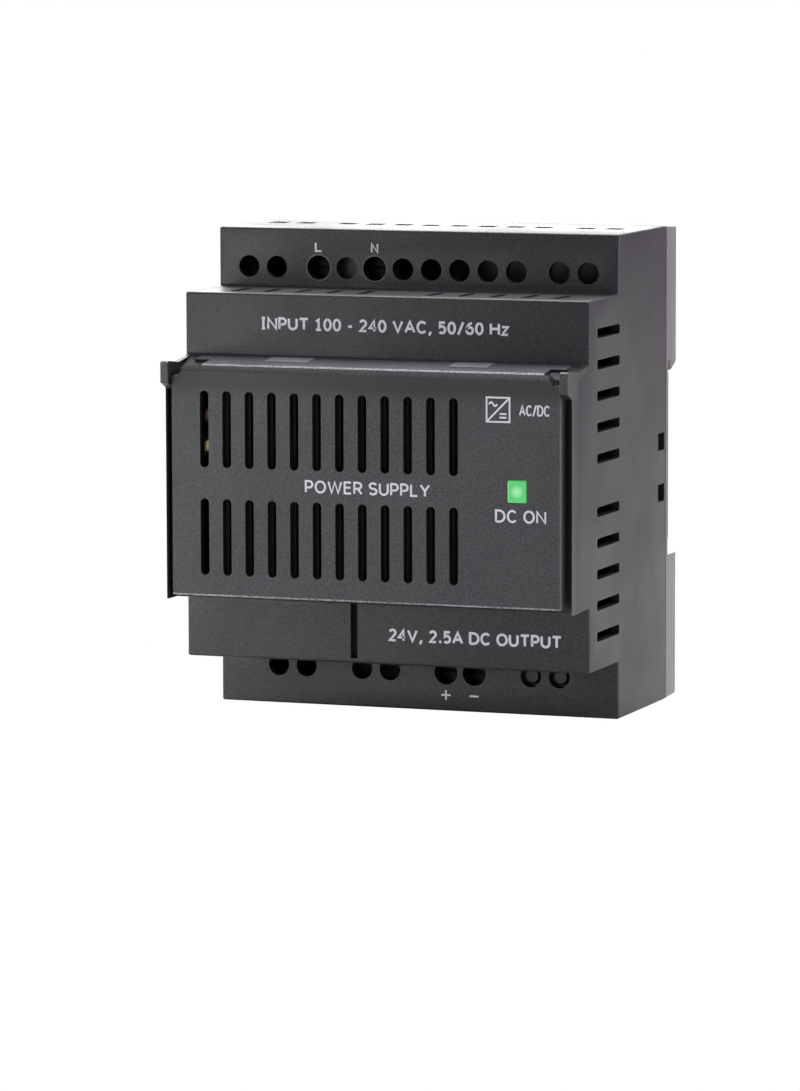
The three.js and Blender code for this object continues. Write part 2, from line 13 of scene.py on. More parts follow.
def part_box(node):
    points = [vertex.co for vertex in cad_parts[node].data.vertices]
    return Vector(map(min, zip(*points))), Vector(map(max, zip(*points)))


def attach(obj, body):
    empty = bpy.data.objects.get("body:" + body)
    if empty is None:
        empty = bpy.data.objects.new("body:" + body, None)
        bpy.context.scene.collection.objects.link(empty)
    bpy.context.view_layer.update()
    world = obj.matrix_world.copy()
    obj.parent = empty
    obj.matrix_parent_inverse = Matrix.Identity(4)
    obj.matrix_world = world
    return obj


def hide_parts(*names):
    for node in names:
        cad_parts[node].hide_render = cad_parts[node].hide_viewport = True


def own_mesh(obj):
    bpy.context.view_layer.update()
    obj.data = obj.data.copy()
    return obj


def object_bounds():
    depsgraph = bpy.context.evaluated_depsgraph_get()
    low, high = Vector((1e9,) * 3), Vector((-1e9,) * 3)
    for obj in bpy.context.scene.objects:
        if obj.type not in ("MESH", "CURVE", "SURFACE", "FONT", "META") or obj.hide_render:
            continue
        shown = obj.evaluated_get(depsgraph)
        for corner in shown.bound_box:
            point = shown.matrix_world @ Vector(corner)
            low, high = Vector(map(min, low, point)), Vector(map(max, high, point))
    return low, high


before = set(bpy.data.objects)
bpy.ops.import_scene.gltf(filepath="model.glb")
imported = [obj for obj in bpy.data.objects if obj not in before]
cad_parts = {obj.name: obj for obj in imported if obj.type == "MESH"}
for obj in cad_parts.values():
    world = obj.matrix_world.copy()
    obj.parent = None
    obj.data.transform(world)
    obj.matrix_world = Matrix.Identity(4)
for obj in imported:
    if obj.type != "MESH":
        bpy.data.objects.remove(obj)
cad_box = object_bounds()

# ---- driving dimensions, from the frame ----
MM = 0.001


def box_mm(node):
    """A CAD node's lowest and highest corners in millimetres, heights from the housing's middle."""
    low, high = ([c / MM for c in corner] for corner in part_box(node))
    return [low[0], low[1], low[2] - MIDDLE], [high[0], high[1], high[2] - MIDDLE]


MIDDLE = sum(corner[2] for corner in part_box("housing_shell")) / 2 / MM
SHELL_LOW, SHELL_HIGH = box_mm("housing_shell")
HALF = SHELL_HIGH[0]
TOP = SHELL_HIGH[2]
SHELL_BACK = SHELL_HIGH[1]
EAR_FRONT = SHELL_LOW[1]
BASE_LOW, BASE_HIGH = box_mm("rear_base")
FLAP_LOW, FLAP_HIGH = box_mm("front_flap")
COVER_LOW, COVER_HIGH = box_mm("port_cover")
LENS_LOW, LENS_HIGH = box_mm("led_lens")
LATCH_LOW, LATCH_HIGH = box_mm("din_latch")
WALL = 1.8
TERMINAL_FRONT = -30
PORT_FRONT = COVER_LOW[1]
BEZEL_FRONT = -53.5
WALL_FRONT = -57  # the side walls' thin front edge, beside the flap
TERMINAL_STEP_TOP, TERMINAL_STEP_BOTTOM = 33.9, -34.3
PORT_STEP_TOP, PORT_STEP_BOTTOM = 22.3, -22.4
FLAP_HALF = 37.75
FLAP_FRONT = FLAP_LOW[1]
FLAP_BACK = FLAP_HIGH[1]
FIRST_SLOT, SLOT_PITCH, SLOT_COUNT = -31.3, 4.43, 12
SLOT_MIDDLES = (9.55, -10.4)  # heights of the flap's two rows of slots
SLOT_HALF = 7.1
HINGE_Y, HINGE_Z, HINGE_REACH = -57.6, 18.4, 2.8
LIP = HINGE_Y + HINGE_REACH + 0.3  # how far forward the ledge may come
EAR_WIDTH = 1.6
SIDE_VENT = (-42.6, -29.6)  # y of its two ends
HOLE_PITCH, HOLE_HEIGHT = 5.6, 37.7
TOP_HOLES = (-6, -5, -3.5, -2.5, -1.5, -0.5, 0.5, 1.5, 2.5, 3.5, 5, 6)
BOTTOM_HOLES = (-5, -4, -2, -1, 1, 2, 4, 5)
LIVE = {"line": (-3.5, 1), "neutral": (-1.5, 1), "plus": (1, -1), "minus": (2, -1)}
LENS_X = (LENS_LOW[0] + LENS_HIGH[0]) / 2
TRIMMER_Z = -9.4
GROOVE = (COVER_HIGH[0] + 0.6, COVER_HIGH[0] + 1.95)  # the slot that a screwdriver lifts the cover by
SIDES = {-1: "left", 1: "right"}


# ---- mesh tools ----
def span(side, near, far):
    """Two distances from the middle, on one side, as a low and a high place."""
    return sorted((side * near, side * far))


def prism(axis, outline, low, high):
    """An outline carried along an axis. Across x it is (y, z), across y (x, z), across z (x, y)."""
    place = {
        "x": lambda a, b, c: (c, a, b),
        "y": lambda a, b, c: (a, c, b),
        "z": lambda a, b, c: (a, b, c),
    }[axis]
    n = len(outline)
    points = [place(a, b, c) for c in (low, high) for a, b in outline]
    faces = [list(range(n)), list(range(n, 2 * n))]
    faces += [[i, (i + 1) % n, n + (i + 1) % n, n + i] for i in range(n)]
    return points, faces


def block(x0, x1, y0, y1, z0, z1):
    return prism("z", [(x0, y0), (x1, y0), (x1, y1), (x0, y1)], z0, z1)


def circle(a, b, radius, sides):
    turn = 2 * math.pi / sides
    return [(a + radius * math.cos(i * turn), b + radius * math.sin(i * turn)) for i in range(sides)]


def rod(axis, a, b, radius, low, high, sides=40):
    return prism(axis, circle(a, b, radius, sides), low, high)


def rounded(a0, a1, b0, b1, radius, steps=6):
    """A rectangle with round corners, as an outline."""
    corners = [(a1, b1, 0), (a0, b1, 90), (a0, b0, 180), (a1, b0, 270)]
    points = []
    for a, b, start in corners:
        ca = a - math.copysign(radius, a - (a0 + a1) / 2)
        cb = b - math.copysign(radius, b - (b0 + b1) / 2)
        for i in range(steps + 1):
            angle = math.radians(start + 90 * i / steps)
            points.append((ca + radius * math.cos(angle), cb + radius * math.sin(angle)))
    return points


def merged(solids):
    points, faces = [], []
    for some, more in solids:
        faces += [[i + len(points) for i in face] for face in more]
        points += some
    return points, faces


def start(name, solid):
    """A working object in millimetres from a solid."""
    mesh = bpy.data.meshes.new(name)
    mesh.from_pydata([tuple(p) for p in solid[0]], [], solid[1])
    bm = bmesh.new()
    bm.from_mesh(mesh)
    bmesh.ops.recalc_face_normals(bm, faces=bm.faces)
    bm.to_mesh(mesh)
    bm.free()
    made = bpy.data.objects.new(name, mesh)
    bpy.context.scene.collection.objects.link(made)
    return made


def apply(obj):
    """Turns the object's modifiers into its mesh."""
    bpy.context.view_layer.update()
    graph = bpy.context.evaluated_depsgraph_get()
    mesh = bpy.data.meshes.new_from_object(obj.evaluated_get(graph))
    old = obj.data
    obj.modifiers.clear()
    obj.data = mesh
    bpy.data.meshes.remove(old)


def combine(obj, solids, operation="DIFFERENCE", overlapping=False):
    """Cuts the solids out of the object, or joins them to it."""
    tool = start("tool", merged(solids))
    change = obj.modifiers.new("combine", "BOOLEAN")
    change.operation = operation
    change.object = tool
    change.solver = "EXACT"
    change.use_self = overlapping
    apply(obj)
    bpy.data.objects.remove(tool)


def round_edges(obj, width, segments=3, keep=lambda a, b: False):
    """Rounds every sharp edge of a solid whose ends keep(a, b) doesn't hold back."""
    bm = bmesh.new()
    bm.from_mesh(obj.data)
    sharp = [
        e
        for e in bm.edges
        if len(e.link_faces) == 2
        and e.calc_face_angle(0) > math.radians(25)
        and not keep(e.verts[0].co, e.verts[1].co)
    ]
    bmesh.ops.bevel(
        bm, geom=sharp, offset=width, segments=segments, profile=0.5, affect="EDGES", clamp_overlap=True
    )
    bm.to_mesh(obj.data)
    bm.free()


def paint_faces(obj, *coats):
    """Gives each face the first coat whose chosen(centre, normal) picks it; the rest keep their own."""
    if not obj.data.materials:
        obj.data.materials.append(HOUSING)
    for coat, chosen in coats:
        obj.data.materials.append(coat)
        for face in obj.data.polygons:
            if face.material_index == 0 and chosen(face.center, face.normal):
                face.material_index = len(obj.data.materials) - 1


def finish(obj, material, body, stands_for=(), edge=0.12, angle=32, segments=2):
    """Softens the last edges, moves the object into the part's frame, and gives it body and material."""
    if edge:
        bevel = obj.modifiers.new("edges", "BEVEL")
        bevel.width = edge
        bevel.segments = segments
        bevel.limit_method = "ANGLE"
        bevel.angle_limit = math.radians(angle)
        bevel.use_clamp_overlap = True
        bevel.harden_normals = True
        obj.data.shade_smooth()
        apply(obj)
    else:
        obj.data.shade_smooth()
        obj.data.set_sharp_from_angle(angle=math.radians(angle))
    obj.data.transform(Matrix.Translation((0, 0, MIDDLE * MM)) @ Matrix.Scale(MM, 4))
    if not obj.data.materials:
        obj.data.materials.append(material)
    obj.data.materials[0] = material
    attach(obj, body)
    if stands_for:
        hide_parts(*stands_for)
    return obj


# ---- materials ----
def socket(node, name, value):
    node.inputs[name].default_value = value


def new_material(name, **inputs):
    """A material with a Principled shader, its uniform values set on the shader's own sockets."""
    material = bpy.data.materials.new(name)
    material.use_nodes = True
    shader = material.node_tree.nodes["Principled BSDF"]
    for key, value in inputs.items():
        socket(shader, key.replace("_", " "), value)
    return material, material.node_tree, shader


def noise(tree, scale, detail=2.0, roughness=0.5, stretch=(1, 1, 1)):
    """A noise whose scale counts its features in each metre of the object."""
    where = tree.nodes.new("ShaderNodeTexCoord")
    made = tree.nodes.new("ShaderNodeTexNoise")
    socket(made, "Scale", scale)
    socket(made, "Detail", detail)
    socket(made, "Roughness", roughness)
    if stretch != (1, 1, 1):
        mapping = tree.nodes.new("ShaderNodeMapping")
        socket(mapping, "Scale", stretch)
        tree.links.new(where.outputs["Object"], mapping.inputs["Vector"])
        tree.links.new(mapping.outputs["Vector"], made.inputs["Vector"])
    else:
        tree.links.new(where.outputs["Object"], made.inputs["Vector"])
    return made


def ramp(tree, source, low, high, start_at=0.3, end_at=0.7):
    """The source's value carried onto a run between two colours or greys."""
    made = tree.nodes.new("ShaderNodeValToRGB")
    made.color_ramp.elements[0].position = start_at
    made.color_ramp.elements[1].position = end_at
    made.color_ramp.elements[0].color = low if len(low) == 4 else (*low, 1)
    made.color_ramp.elements[1].color = high if len(high) == 4 else (*high, 1)
    tree.links.new(source, made.inputs["Fac"])
    return made


def grey(value):
    return (value, value, value)


def shade(colour, factor):
    return tuple(min(1.0, c * factor) for c in colour)


def mottled(
    name, colour, spread=0.08, roughness=(0.45, 0.6), grain=0.2, bump=0.15, cloud=60, speck=0.42, **inputs
):
    """Moulded plastic: slow shifts in colour and sheen over a fine grain, its size in millimetres."""
    material, tree, shader = new_material(name, **inputs)
    slow = noise(tree, cloud, 3)
    fine = noise(tree, 1 / (grain * MM), 2, 0.6)
    tint = ramp(tree, slow.outputs["Fac"], shade(colour, 1 - spread), shade(colour, 1 + spread))
    dots = ramp(tree, fine.outputs["Fac"], grey(1 - 2 * speck), grey(1.0), 0.35, 0.65)
    mix = tree.nodes.new("ShaderNodeMix")
    mix.data_type = "RGBA"
    mix.blend_type = "MULTIPLY"
    mix.inputs[0].default_value = 1.0
    tree.links.new(tint.outputs["Color"], mix.inputs[6])
    tree.links.new(dots.outputs["Color"], mix.inputs[7])
    tree.links.new(mix.outputs[2], shader.inputs["Base Color"])
    sheen = ramp(tree, slow.outputs["Fac"], grey(roughness[0]), grey(roughness[1]))
    tree.links.new(sheen.outputs["Color"], shader.inputs["Roughness"])
    relief = tree.nodes.new("ShaderNodeBump")
    socket(relief, "Strength", bump)
    socket(relief, "Distance", grain * MM * 0.25)
    tree.links.new(fine.outputs["Fac"], relief.inputs["Height"])
    tree.links.new(relief.outputs["Normal"], shader.inputs["Normal"])
    return material


def metal(name, colour, roughness=(0.25, 0.4), stretch=(1, 1, 1), scale=900, bump=0.05):
    """Drawn or plated metal: streaks in its sheen, slight stains in its colour."""
    material, tree, shader = new_material(name, Metallic=1.0)
    streak = noise(tree, scale, 3, 0.6, stretch)
    tint = ramp(tree, streak.outputs["Fac"], shade(colour, 0.85), shade(colour, 1.08))
    sheen = ramp(tree, streak.outputs["Fac"], grey(roughness[0]), grey(roughness[1]))
    tree.links.new(tint.outputs["Color"], shader.inputs["Base Color"])
    tree.links.new(sheen.outputs["Color"], shader.inputs["Roughness"])
    relief = tree.nodes.new("ShaderNodeBump")
    socket(relief, "Strength", bump)
    socket(relief, "Distance", 0.02 * MM)
    tree.links.new(streak.outputs["Fac"], relief.inputs["Height"])
    tree.links.new(relief.outputs["Normal"], shader.inputs["Normal"])
    return material


def paint_shade_upwards(material, low, high, least):
    """Paints shade into a plastic's colour: darkens it evenly between two heights, down to a share of
    itself.
    """
    tree = material.node_tree
    base = tree.nodes["Principled BSDF"].inputs["Base Color"]
    where = tree.nodes.new("ShaderNodeTexCoord")
    axes = tree.nodes.new("ShaderNodeSeparateXYZ")
    rise = tree.nodes.new("ShaderNodeMapRange")
    socket(rise, "From Min", (low + MIDDLE) * MM)
    socket(rise, "From Max", (high + MIDDLE) * MM)
    tree.links.new(where.outputs["Object"], axes.inputs["Vector"])
    tree.links.new(axes.outputs["Z"], rise.inputs["Value"])
    share = ramp(tree, rise.outputs["Result"], grey(1), grey(least), 0, 1)
    mix = tree.nodes.new("ShaderNodeMix")
    mix.data_type = "RGBA"
    mix.blend_type = "MULTIPLY"
    mix.inputs[0].default_value = 1.0
    tree.links.new(base.links[0].from_socket, mix.inputs[6])
    tree.links.new(share.outputs["Color"], mix.inputs[7])
    tree.links.new(mix.outputs[2], base)


HOUSING = mottled("housing_plastic", (0.0285, 0.0240, 0.0310), roughness=(0.42, 0.55), grain=0.35, bump=0.35)
# Painted highlight: the rear base's light grey stands in for the back light glancing off it.
REAR_PAINTED_LIGHT = mottled(
    "rear_plastic", (0.15, 0.142, 0.15), spread=0.04, roughness=(0.42, 0.5), grain=0.3, bump=0.35, speck=0.12
)
FLAP = mottled("flap_plastic", (0.043, 0.045, 0.053), roughness=(0.42, 0.55), grain=0.35, bump=0.3)
# Painted shade: the flap's face darkens towards its top, under the ledge.
paint_shade_upwards(FLAP, 15.2, 17.8, 0.12)
# Painted highlight: the ears are the housing's plastic; this lighter, yellowish grey stands in for the light
# they catch.
EAR_PAINTED_HIGHLIGHT = mottled("ear_painted_highlight", (0.045, 0.044, 0.040), roughness=(0.4, 0.5), grain=0.35, bump=0.3)
# Painted light: the ledge is the housing's plastic; this much lighter, bluish grey stands in for the light
# falling on its top.
LEDGE_PAINTED_LIGHT = mottled(
    "ledge_painted_light", (0.12, 0.128, 0.148), roughness=(0.35, 0.45), grain=0.35, bump=0.3, speck=0.25
)
# Painted light: the tabs' light grey stands in for the light on their tops.
TAB_PAINTED_LIGHT = mottled("tab_painted_light", (0.21, 0.217, 0.231), roughness=(0.35, 0.45), grain=0.35, bump=0.3, speck=0.15)
# Painted light: a lighter grey for the flap's side face, which lies in the side wall's shadow.
FLAP_SIDE_PAINTED_LIGHT = mottled("flap_side_painted_light", (0.15, 0.142, 0.127), roughness=(0.4, 0.5), grain=0.35, bump=0.3, speck=0.2)
# Painted shade: a darker, less shiny coat for the flap's chamfer and top.
CREST_PAINTED_SHADE = mottled(
    "flap_crest_painted_shade", (0.03, 0.031, 0.034), roughness=(0.5, 0.6), grain=0.35, Specular_IOR_Level=0.12
)
# Painted highlight: a light grey on edge beads in place of the light line they catch.
EDGE_PAINTED_HIGHLIGHT = mottled("edge_painted_highlight", (0.42, 0.42, 0.44), roughness=(0.3, 0.4), grain=0.35, bump=0.2)
LATCH = mottled("latch_plastic", (0.008, 0.008, 0.009), roughness=(0.35, 0.45), grain=0.3, bump=0.15)
PRINT = mottled("white_print", (0.66, 0.67, 0.7), spread=0.04, roughness=(0.5, 0.65), grain=0.12, speck=0.06)
# Black painted shade: stands in for the shade inside slots, gaps and vents and on faces turned inwards.
BLACK_PAINTED_SHADE = mottled("black_painted_shade", (0.006, 0.006, 0.007), roughness=(0.6, 0.7), grain=0.25, bump=0.2)
# Painted shade: the terminal blocks are near black, darker than the housing, so that the screw holes in
# front of them look black.
BLOCK_PAINTED_SHADE = mottled("terminal_painted_shade", (0.004, 0.005, 0.0045), roughness=(0.5, 0.6), grain=0.3)
TAPE = mottled("winding_tape", (0.75, 0.55, 0.14), spread=0.05, roughness=(0.25, 0.35), grain=0.6)
FERRITE = mottled("ferrite", (0.035, 0.035, 0.038), spread=0.15, roughness=(0.6, 0.75), grain=0.15, bump=0.4)
SLEEVE = mottled("capacitor_sleeve", (0.018, 0.022, 0.034), spread=0.05, roughness=(0.22, 0.3), grain=0.5)
FILM = mottled("film_capacitor", (0.62, 0.36, 0.28), spread=0.05, roughness=(0.3, 0.4), grain=0.5)
DISC = mottled("disc_lacquer", (0.05, 0.17, 0.45), spread=0.08, roughness=(0.25, 0.35), grain=0.7)
EPOXY = mottled("moulded_epoxy", (0.014, 0.014, 0.015), roughness=(0.5, 0.6), grain=0.12, bump=0.3)
TUBE = mottled("fuse_ceramic", (0.78, 0.72, 0.58), spread=0.04, roughness=(0.55, 0.7), grain=0.2)
PAPER = mottled("fish_paper", (0.66, 0.55, 0.3), spread=0.08, roughness=(0.7, 0.8), grain=0.5)
TRIMMER = mottled("trimmer_plastic", (0.03, 0.11, 0.36), roughness=(0.3, 0.4), grain=0.4)
STEEL = metal("zinc_steel", (0.62, 0.63, 0.65))
BLACK_STEEL = metal("blackened_steel", (0.012, 0.012, 0.014), (0.45, 0.6))
SPRING = metal("spring_steel", (0.66, 0.67, 0.7), (0.15, 0.25))
BRASS = metal("tinned_brass", (0.7, 0.6, 0.35))
COPPER = metal("enamelled_copper", (0.72, 0.27, 0.1), (0.2, 0.3))
ALUMINIUM = metal("black_anodised", (0.035, 0.036, 0.04), (0.35, 0.5), (1, 1, 8))


def board_material():
    """Green solder resist over faint copper tracks."""
    material, tree, shader = new_material("circuit_board", Coat_Weight=0.3)
    tracks = noise(tree, 220, 0, 0.5, (1, 0.05, 1))
    edge = ramp(tree, tracks.outputs["Fac"], (0.006, 0.03, 0.011), (0.009, 0.048, 0.017), 0.48, 0.52)
    tree.links.new(edge.outputs["Color"], shader.inputs["Base Color"])
    sheen = ramp(tree, tracks.outputs["Fac"], grey(0.28), grey(0.4))
    tree.links.new(sheen.outputs["Color"], shader.inputs["Roughness"])
    return material


def lens_material():
    """A lit green lens, brightest in its middle."""
    material, tree, shader = new_material("green_lens", Emission_Strength=0.5, Roughness=0.25)
    where = tree.nodes.new("ShaderNodeTexCoord")
    mapping = tree.nodes.new("ShaderNodeMapping")
    mapping.vector_type = "POINT"
    socket(mapping, "Location", (-LENS_X * MM, -(LENS_LOW[1] + 1) * MM, -MIDDLE * MM))
    far = tree.nodes.new("ShaderNodeVectorMath")
    far.operation = "LENGTH"
    tree.links.new(where.outputs["Object"], mapping.inputs["Vector"])
    tree.links.new(mapping.outputs["Vector"], far.inputs[0])
    glow = tree.nodes.new("ShaderNodeMapRange")
    socket(glow, "From Min", 0.0004)
    socket(glow, "From Max", 0.0026)
    tree.links.new(far.outputs["Value"], glow.inputs["Value"])
    lit = ramp(tree, glow.outputs["Result"], (0.42, 0.75, 0.45), (0.07, 0.42, 0.12), 0.0, 0.55)
    tree.links.new(lit.outputs["Color"], shader.inputs["Emission Color"])
    tree.links.new(lit.outputs["Color"], shader.inputs["Base Color"])
    return material


BOARD = board_material()
LENS = lens_material()


# ---- housing ----
def shell_outline(inset):
    """The shell's stepped side view as (y, z), moved inwards by the inset."""
    back = SHELL_BACK + (1 if inset else 0)
    slope = 2.2
    return [
        (back, -TOP + inset),
        (TERMINAL_FRONT + inset, -TOP + inset),
        (TERMINAL_FRONT + inset, TERMINAL_STEP_BOTTOM + inset),
        (PORT_FRONT + inset, TERMINAL_STEP_BOTTOM + inset),
        (PORT_FRONT + inset, PORT_STEP_BOTTOM + inset),
        (BEZEL_FRONT + inset, PORT_STEP_BOTTOM + inset),
        (BEZEL_FRONT + inset, PORT_STEP_TOP - slope - inset),
        (PORT_FRONT + inset, PORT_STEP_TOP - inset),
        (PORT_FRONT + inset, TERMINAL_STEP_TOP - inset),
        (TERMINAL_FRONT + inset, TERMINAL_STEP_TOP - inset),
        (TERMINAL_FRONT + inset, TOP - inset),
        (back, TOP - inset),
    ]


def side_vents():
    """Slots for air in both side walls, and two small windows beside the parting line."""
    pitch = 5.75
    heights = [highest - pitch * i for highest in (27.7, -5.1) for i in range(5)]
    tools = []
    for side in SIDES:
        through = span(side, HALF - WALL - 1, HALF + 1)
        for z in heights:
            tools.append(prism("x", rounded(*SIDE_VENT, z - 0.9, z + 0.9, 0.45), *through))
        for z in (4.4, -5.3):
            tools.append(prism("x", rounded(-6.3, -2.5, z - 1.65, z + 1.65, 0.25, 3), *through))
    return tools


def ledge_vents():
    """Slots for air in the two ledges between the terminals' and the ports' fronts."""
    ledges = (
        (TERMINAL_STEP_TOP - WALL - 1, TERMINAL_STEP_TOP + 1),
        (TERMINAL_STEP_BOTTOM - 1, TERMINAL_STEP_BOTTOM + WALL + 1),
    )
    tools = []
    for side in SIDES:
        for i in range(5):
            x = side * (6.8 + 6.2 * i)
            for low, high in ledges:
                tools.append(prism("z", rounded(x - 0.8, x + 0.8, -42.7, -35.1, 0.6, 4), low, high))
    return tools


def hole_radius(column, side):
    """The live terminals' screw holes are a little wider."""
    return 2.3 if (column, side) in LIVE.values() else 2.05


def terminal_openings():
    """Screw holes in the terminals' fronts, and a wire entry above or below each."""
    tools = []
    for columns, side in ((TOP_HOLES, 1), (BOTTOM_HOLES, -1)):
        z = side * HOLE_HEIGHT
        for column in columns:
            x = column * HOLE_PITCH
            radius = hole_radius(column, side)
            tools.append(rod("y", x, z, radius, TERMINAL_FRONT - 1, TERMINAL_FRONT + WALL + 1))
            entry = rounded(x - 1.7, x + 1.7, -16, -12.4, 0.3, 3)
            tools.append(prism("z", entry, *span(side, TOP - WALL - 1, TOP + 1)))
    return tools


def bezel_openings():
    """Two ribbed grilles behind the flap's slots, and the indicator's and the trimmer's windows."""
    low, high = BEZEL_FRONT - 1, BEZEL_FRONT + WALL + 1
    half, first_left = 1.55, -34.7
    tools = []
    for i in range(SLOT_COUNT):
        x = FIRST_SLOT + SLOT_PITCH * i
        left = x - half if i else first_left
        for foot, head in ((2, 17), (-18, -3)):
            tools.append(prism("y", rounded(left, x + half, foot, head, 0.5, 3), low, high))
    tools.append(prism("y", rounded(LENS_X - 2, LENS_X + 2, -2.2, 2.2, 0.3, 3), low, high))
    tools.append(rod("y", LENS_X, TRIMMER_Z, 2.6, low, high))
    return tools


def ledge():
    """The sloping ledge over the flap, with its front corners cut away beside the ears."""
    top, bead = PORT_STEP_TOP - 0.05, 0.4
    lip_top = PORT_STEP_TOP - 1.1
    outline = [
        (PORT_FRONT + 0.9, top),
        (PORT_FRONT, top),
        (LIP + bead, lip_top),
        (LIP, lip_top - bead),
        (LIP, PORT_STEP_TOP - 2.9),
        (PORT_FRONT + 0.9, PORT_STEP_TOP - 2.9),
    ]
    end = FLAP_HALF - 1.4
    corner = HALF - EAR_WIDTH - 4.6
    made = start("flap_ledge", prism("x", outline, -end, end))
    combine(made, [block(*span(side, corner, end + 1), -60, -50.5, 15, 25) for side in SIDES])
    made.data.materials.append(LEDGE_PAINTED_LIGHT)
    # Painted light: the ledge's front bead gets the painted highlight, and its sides and front face get the
    # black painted shade.
    paint_faces(
        made,
        (EDGE_PAINTED_HIGHLIGHT, lambda at, way: way.y < -0.4 and way.z > 0.4),
        (BLACK_PAINTED_SHADE, lambda at, way: abs(way.x) > 0.5 or way.y < -0.5),
    )
    finish(made, LEDGE_PAINTED_LIGHT, "enclosure", edge=0.1)


def ledge_tab(name, low, high):
    """A low wedge on the ledge."""
    wedge = [(-51.8, 21.4), (-51.8, 21.85), (-48.4, 22.25), (-47.2, 22.25), (-47.2, 21.8)]
    # Its light grey is painted light on the wedge's upward faces.
    finish(start(name, prism("x", wedge, low, high)), TAB_PAINTED_LIGHT, "enclosure", edge=0.1)


def wall_crest(side):
    """The side wall's sloping top beside the ledge."""
    outline = [
        (PORT_FRONT + 0.5, PORT_STEP_TOP - 0.05),
        (PORT_FRONT, PORT_STEP_TOP - 0.05),
        (LIP, PORT_STEP_TOP - 1.1),
        (LIP, PORT_STEP_TOP - 4),
        (PORT_FRONT + 0.5, PORT_STEP_TOP - 4),
    ]
    made = start("wall_crest_" + SIDES[side], prism("x", outline, *span(side, HALF - 1.3, HALF - 0.03)))
    # The crest's inner face gets the black painted shade.
    paint_faces(made, (BLACK_PAINTED_SHADE, lambda at, way: way.x * side < -0.5))
    finish(made, HOUSING, "enclosure", edge=0.15)


def side_lip(side):
    """The side wall's thin front edge beside the flap."""
    outer, inner = side * (HALF - 0.02), side * (HALF - 0.35)
    outline = [
        (outer, BEZEL_FRONT + 0.8),
        (outer, WALL_FRONT),
        (inner, WALL_FRONT + 0.3),
        (inner, BEZEL_FRONT + 0.8),
    ]
    return prism("z", outline, PORT_STEP_BOTTOM, PORT_STEP_TOP - 1.4)


def hinge_ear(side):
    """The ear that holds one of the flap's pins."""
    outline = [
        (BEZEL_FRONT, 16.2),
        (WALL_FRONT, 16.8),
        (EAR_FRONT, 18),
        (EAR_FRONT, 21.7),
        (EAR_FRONT + 0.6, 22),
        (BEZEL_FRONT, 21.4),
    ]
    made = start("hinge_ear_" + SIDES[side], prism("x", outline, *span(side, HALF - EAR_WIDTH, HALF)))
    combine(made, [rod("x", HINGE_Y, HINGE_Z, 1.05, *span(side, HALF - 3, HALF - 0.5), 24)])
    # Painted light: the ear's front and top faces get a lighter grey as a painted highlight, and its inner
    # face gets the black painted shade.
    made.data.materials.append(EAR_PAINTED_HIGHLIGHT)
    paint_faces(
        made,
        (HOUSING, lambda at, way: way.x * side > 0.7),
        (BLACK_PAINTED_SHADE, lambda at, way: way.x * side < -0.5),
    )
    finish(made, EAR_PAINTED_HIGHLIGHT, "enclosure", edge=0.15)


def housing():
    """The front shell: a stepped hollow box with rounded edges and all its openings."""
    made = start("housing_shell_skin", prism("x", shell_outline(0), -HALF, HALF))
    parting = SHELL_BACK - 0.01
    round_edges(made, 0.4, 3, keep=lambda a, b: a.y > parting and b.y > parting)
    combine(made, [prism("x", shell_outline(WALL), -HALF + WALL, HALF - WALL)])
    combine(made, [side_lip(side) for side in SIDES], "UNION")
    clear = 0.04
    pocket = block(
        COVER_LOW[0] - clear,
        GROOVE[0] + 0.1,
        PORT_FRONT - 1,
        COVER_HIGH[1] + 0.15,
        COVER_LOW[2] - clear,
        COVER_HIGH[2] + clear,
    )
    foot, head = TERMINAL_STEP_BOTTOM + 0.9, PORT_STEP_BOTTOM - 0.6
    groove = block(*GROOVE, PORT_FRONT - 1, PORT_FRONT + 1.6, foot, head)
    openings = [pocket, groove, *side_vents(), *ledge_vents(), *terminal_openings(), *bezel_openings()]
    combine(made, openings, overlapping=True)
    outer = HALF - 0.05
    inner = HALF - WALL + 0.05

    def beside_flap(at, way):
        return WALL_FRONT - 0.1 < at.y < BEZEL_FRONT + 0.1 and abs(at.x) < outer

    def on_bezel(at, way):
        return at.y < PORT_FRONT - 0.5 and way.z > 0.5 and abs(at.x) < outer

    def in_side_wall(at, way):
        return inner < abs(at.x) < outer and -43 < at.y < -2 and abs(at.z) < 30

    def in_groove(at, way):
        deep = PORT_FRONT + 0.05 < at.y < PORT_FRONT + 2
        return GROOVE[0] < at.x < GROOVE[1] and deep and at.z < 0

    # Painted shade: the bezel beside the flap, its sloping top, the side vents' inner faces and the cover's
    # groove get the black painted shade.
    paint_faces(made, *((BLACK_PAINTED_SHADE, chosen) for chosen in (beside_flap, on_bezel, in_side_wall, in_groove)))
    finish(made, HOUSING, "enclosure", ["housing_shell"], edge=0.12, angle=40)


def port_cover():
    """A thin plate over the pocket, a hair larger than the body behind it."""
    proud = 0.2
    plate = block(
        COVER_LOW[0] - proud,
        GROOVE[0],
        PORT_FRONT - 0.03,
        PORT_FRONT + 0.02,
        COVER_LOW[2] - proud,
        COVER_HIGH[2] + proud,
    )
    body = block(
        COVER_LOW[0],
        GROOVE[0],
        PORT_FRONT - 0.01,
        COVER_HIGH[1],
        COVER_LOW[2],
        COVER_HIGH[2],
    )
    made = start("port_cover_plate", plate)
    combine(made, [body], "UNION")
    finish(made, HOUSING, "enclosure", ["port_cover"], edge=0.02)


housing()
ledge()
ledge_tab("ledge_tab_left", -22, -13.6)
ledge_tab("ledge_tab_right", 14, 21.6)
port_cover()
for side in SIDES:
    hinge_ear(side)
    wall_crest(side)


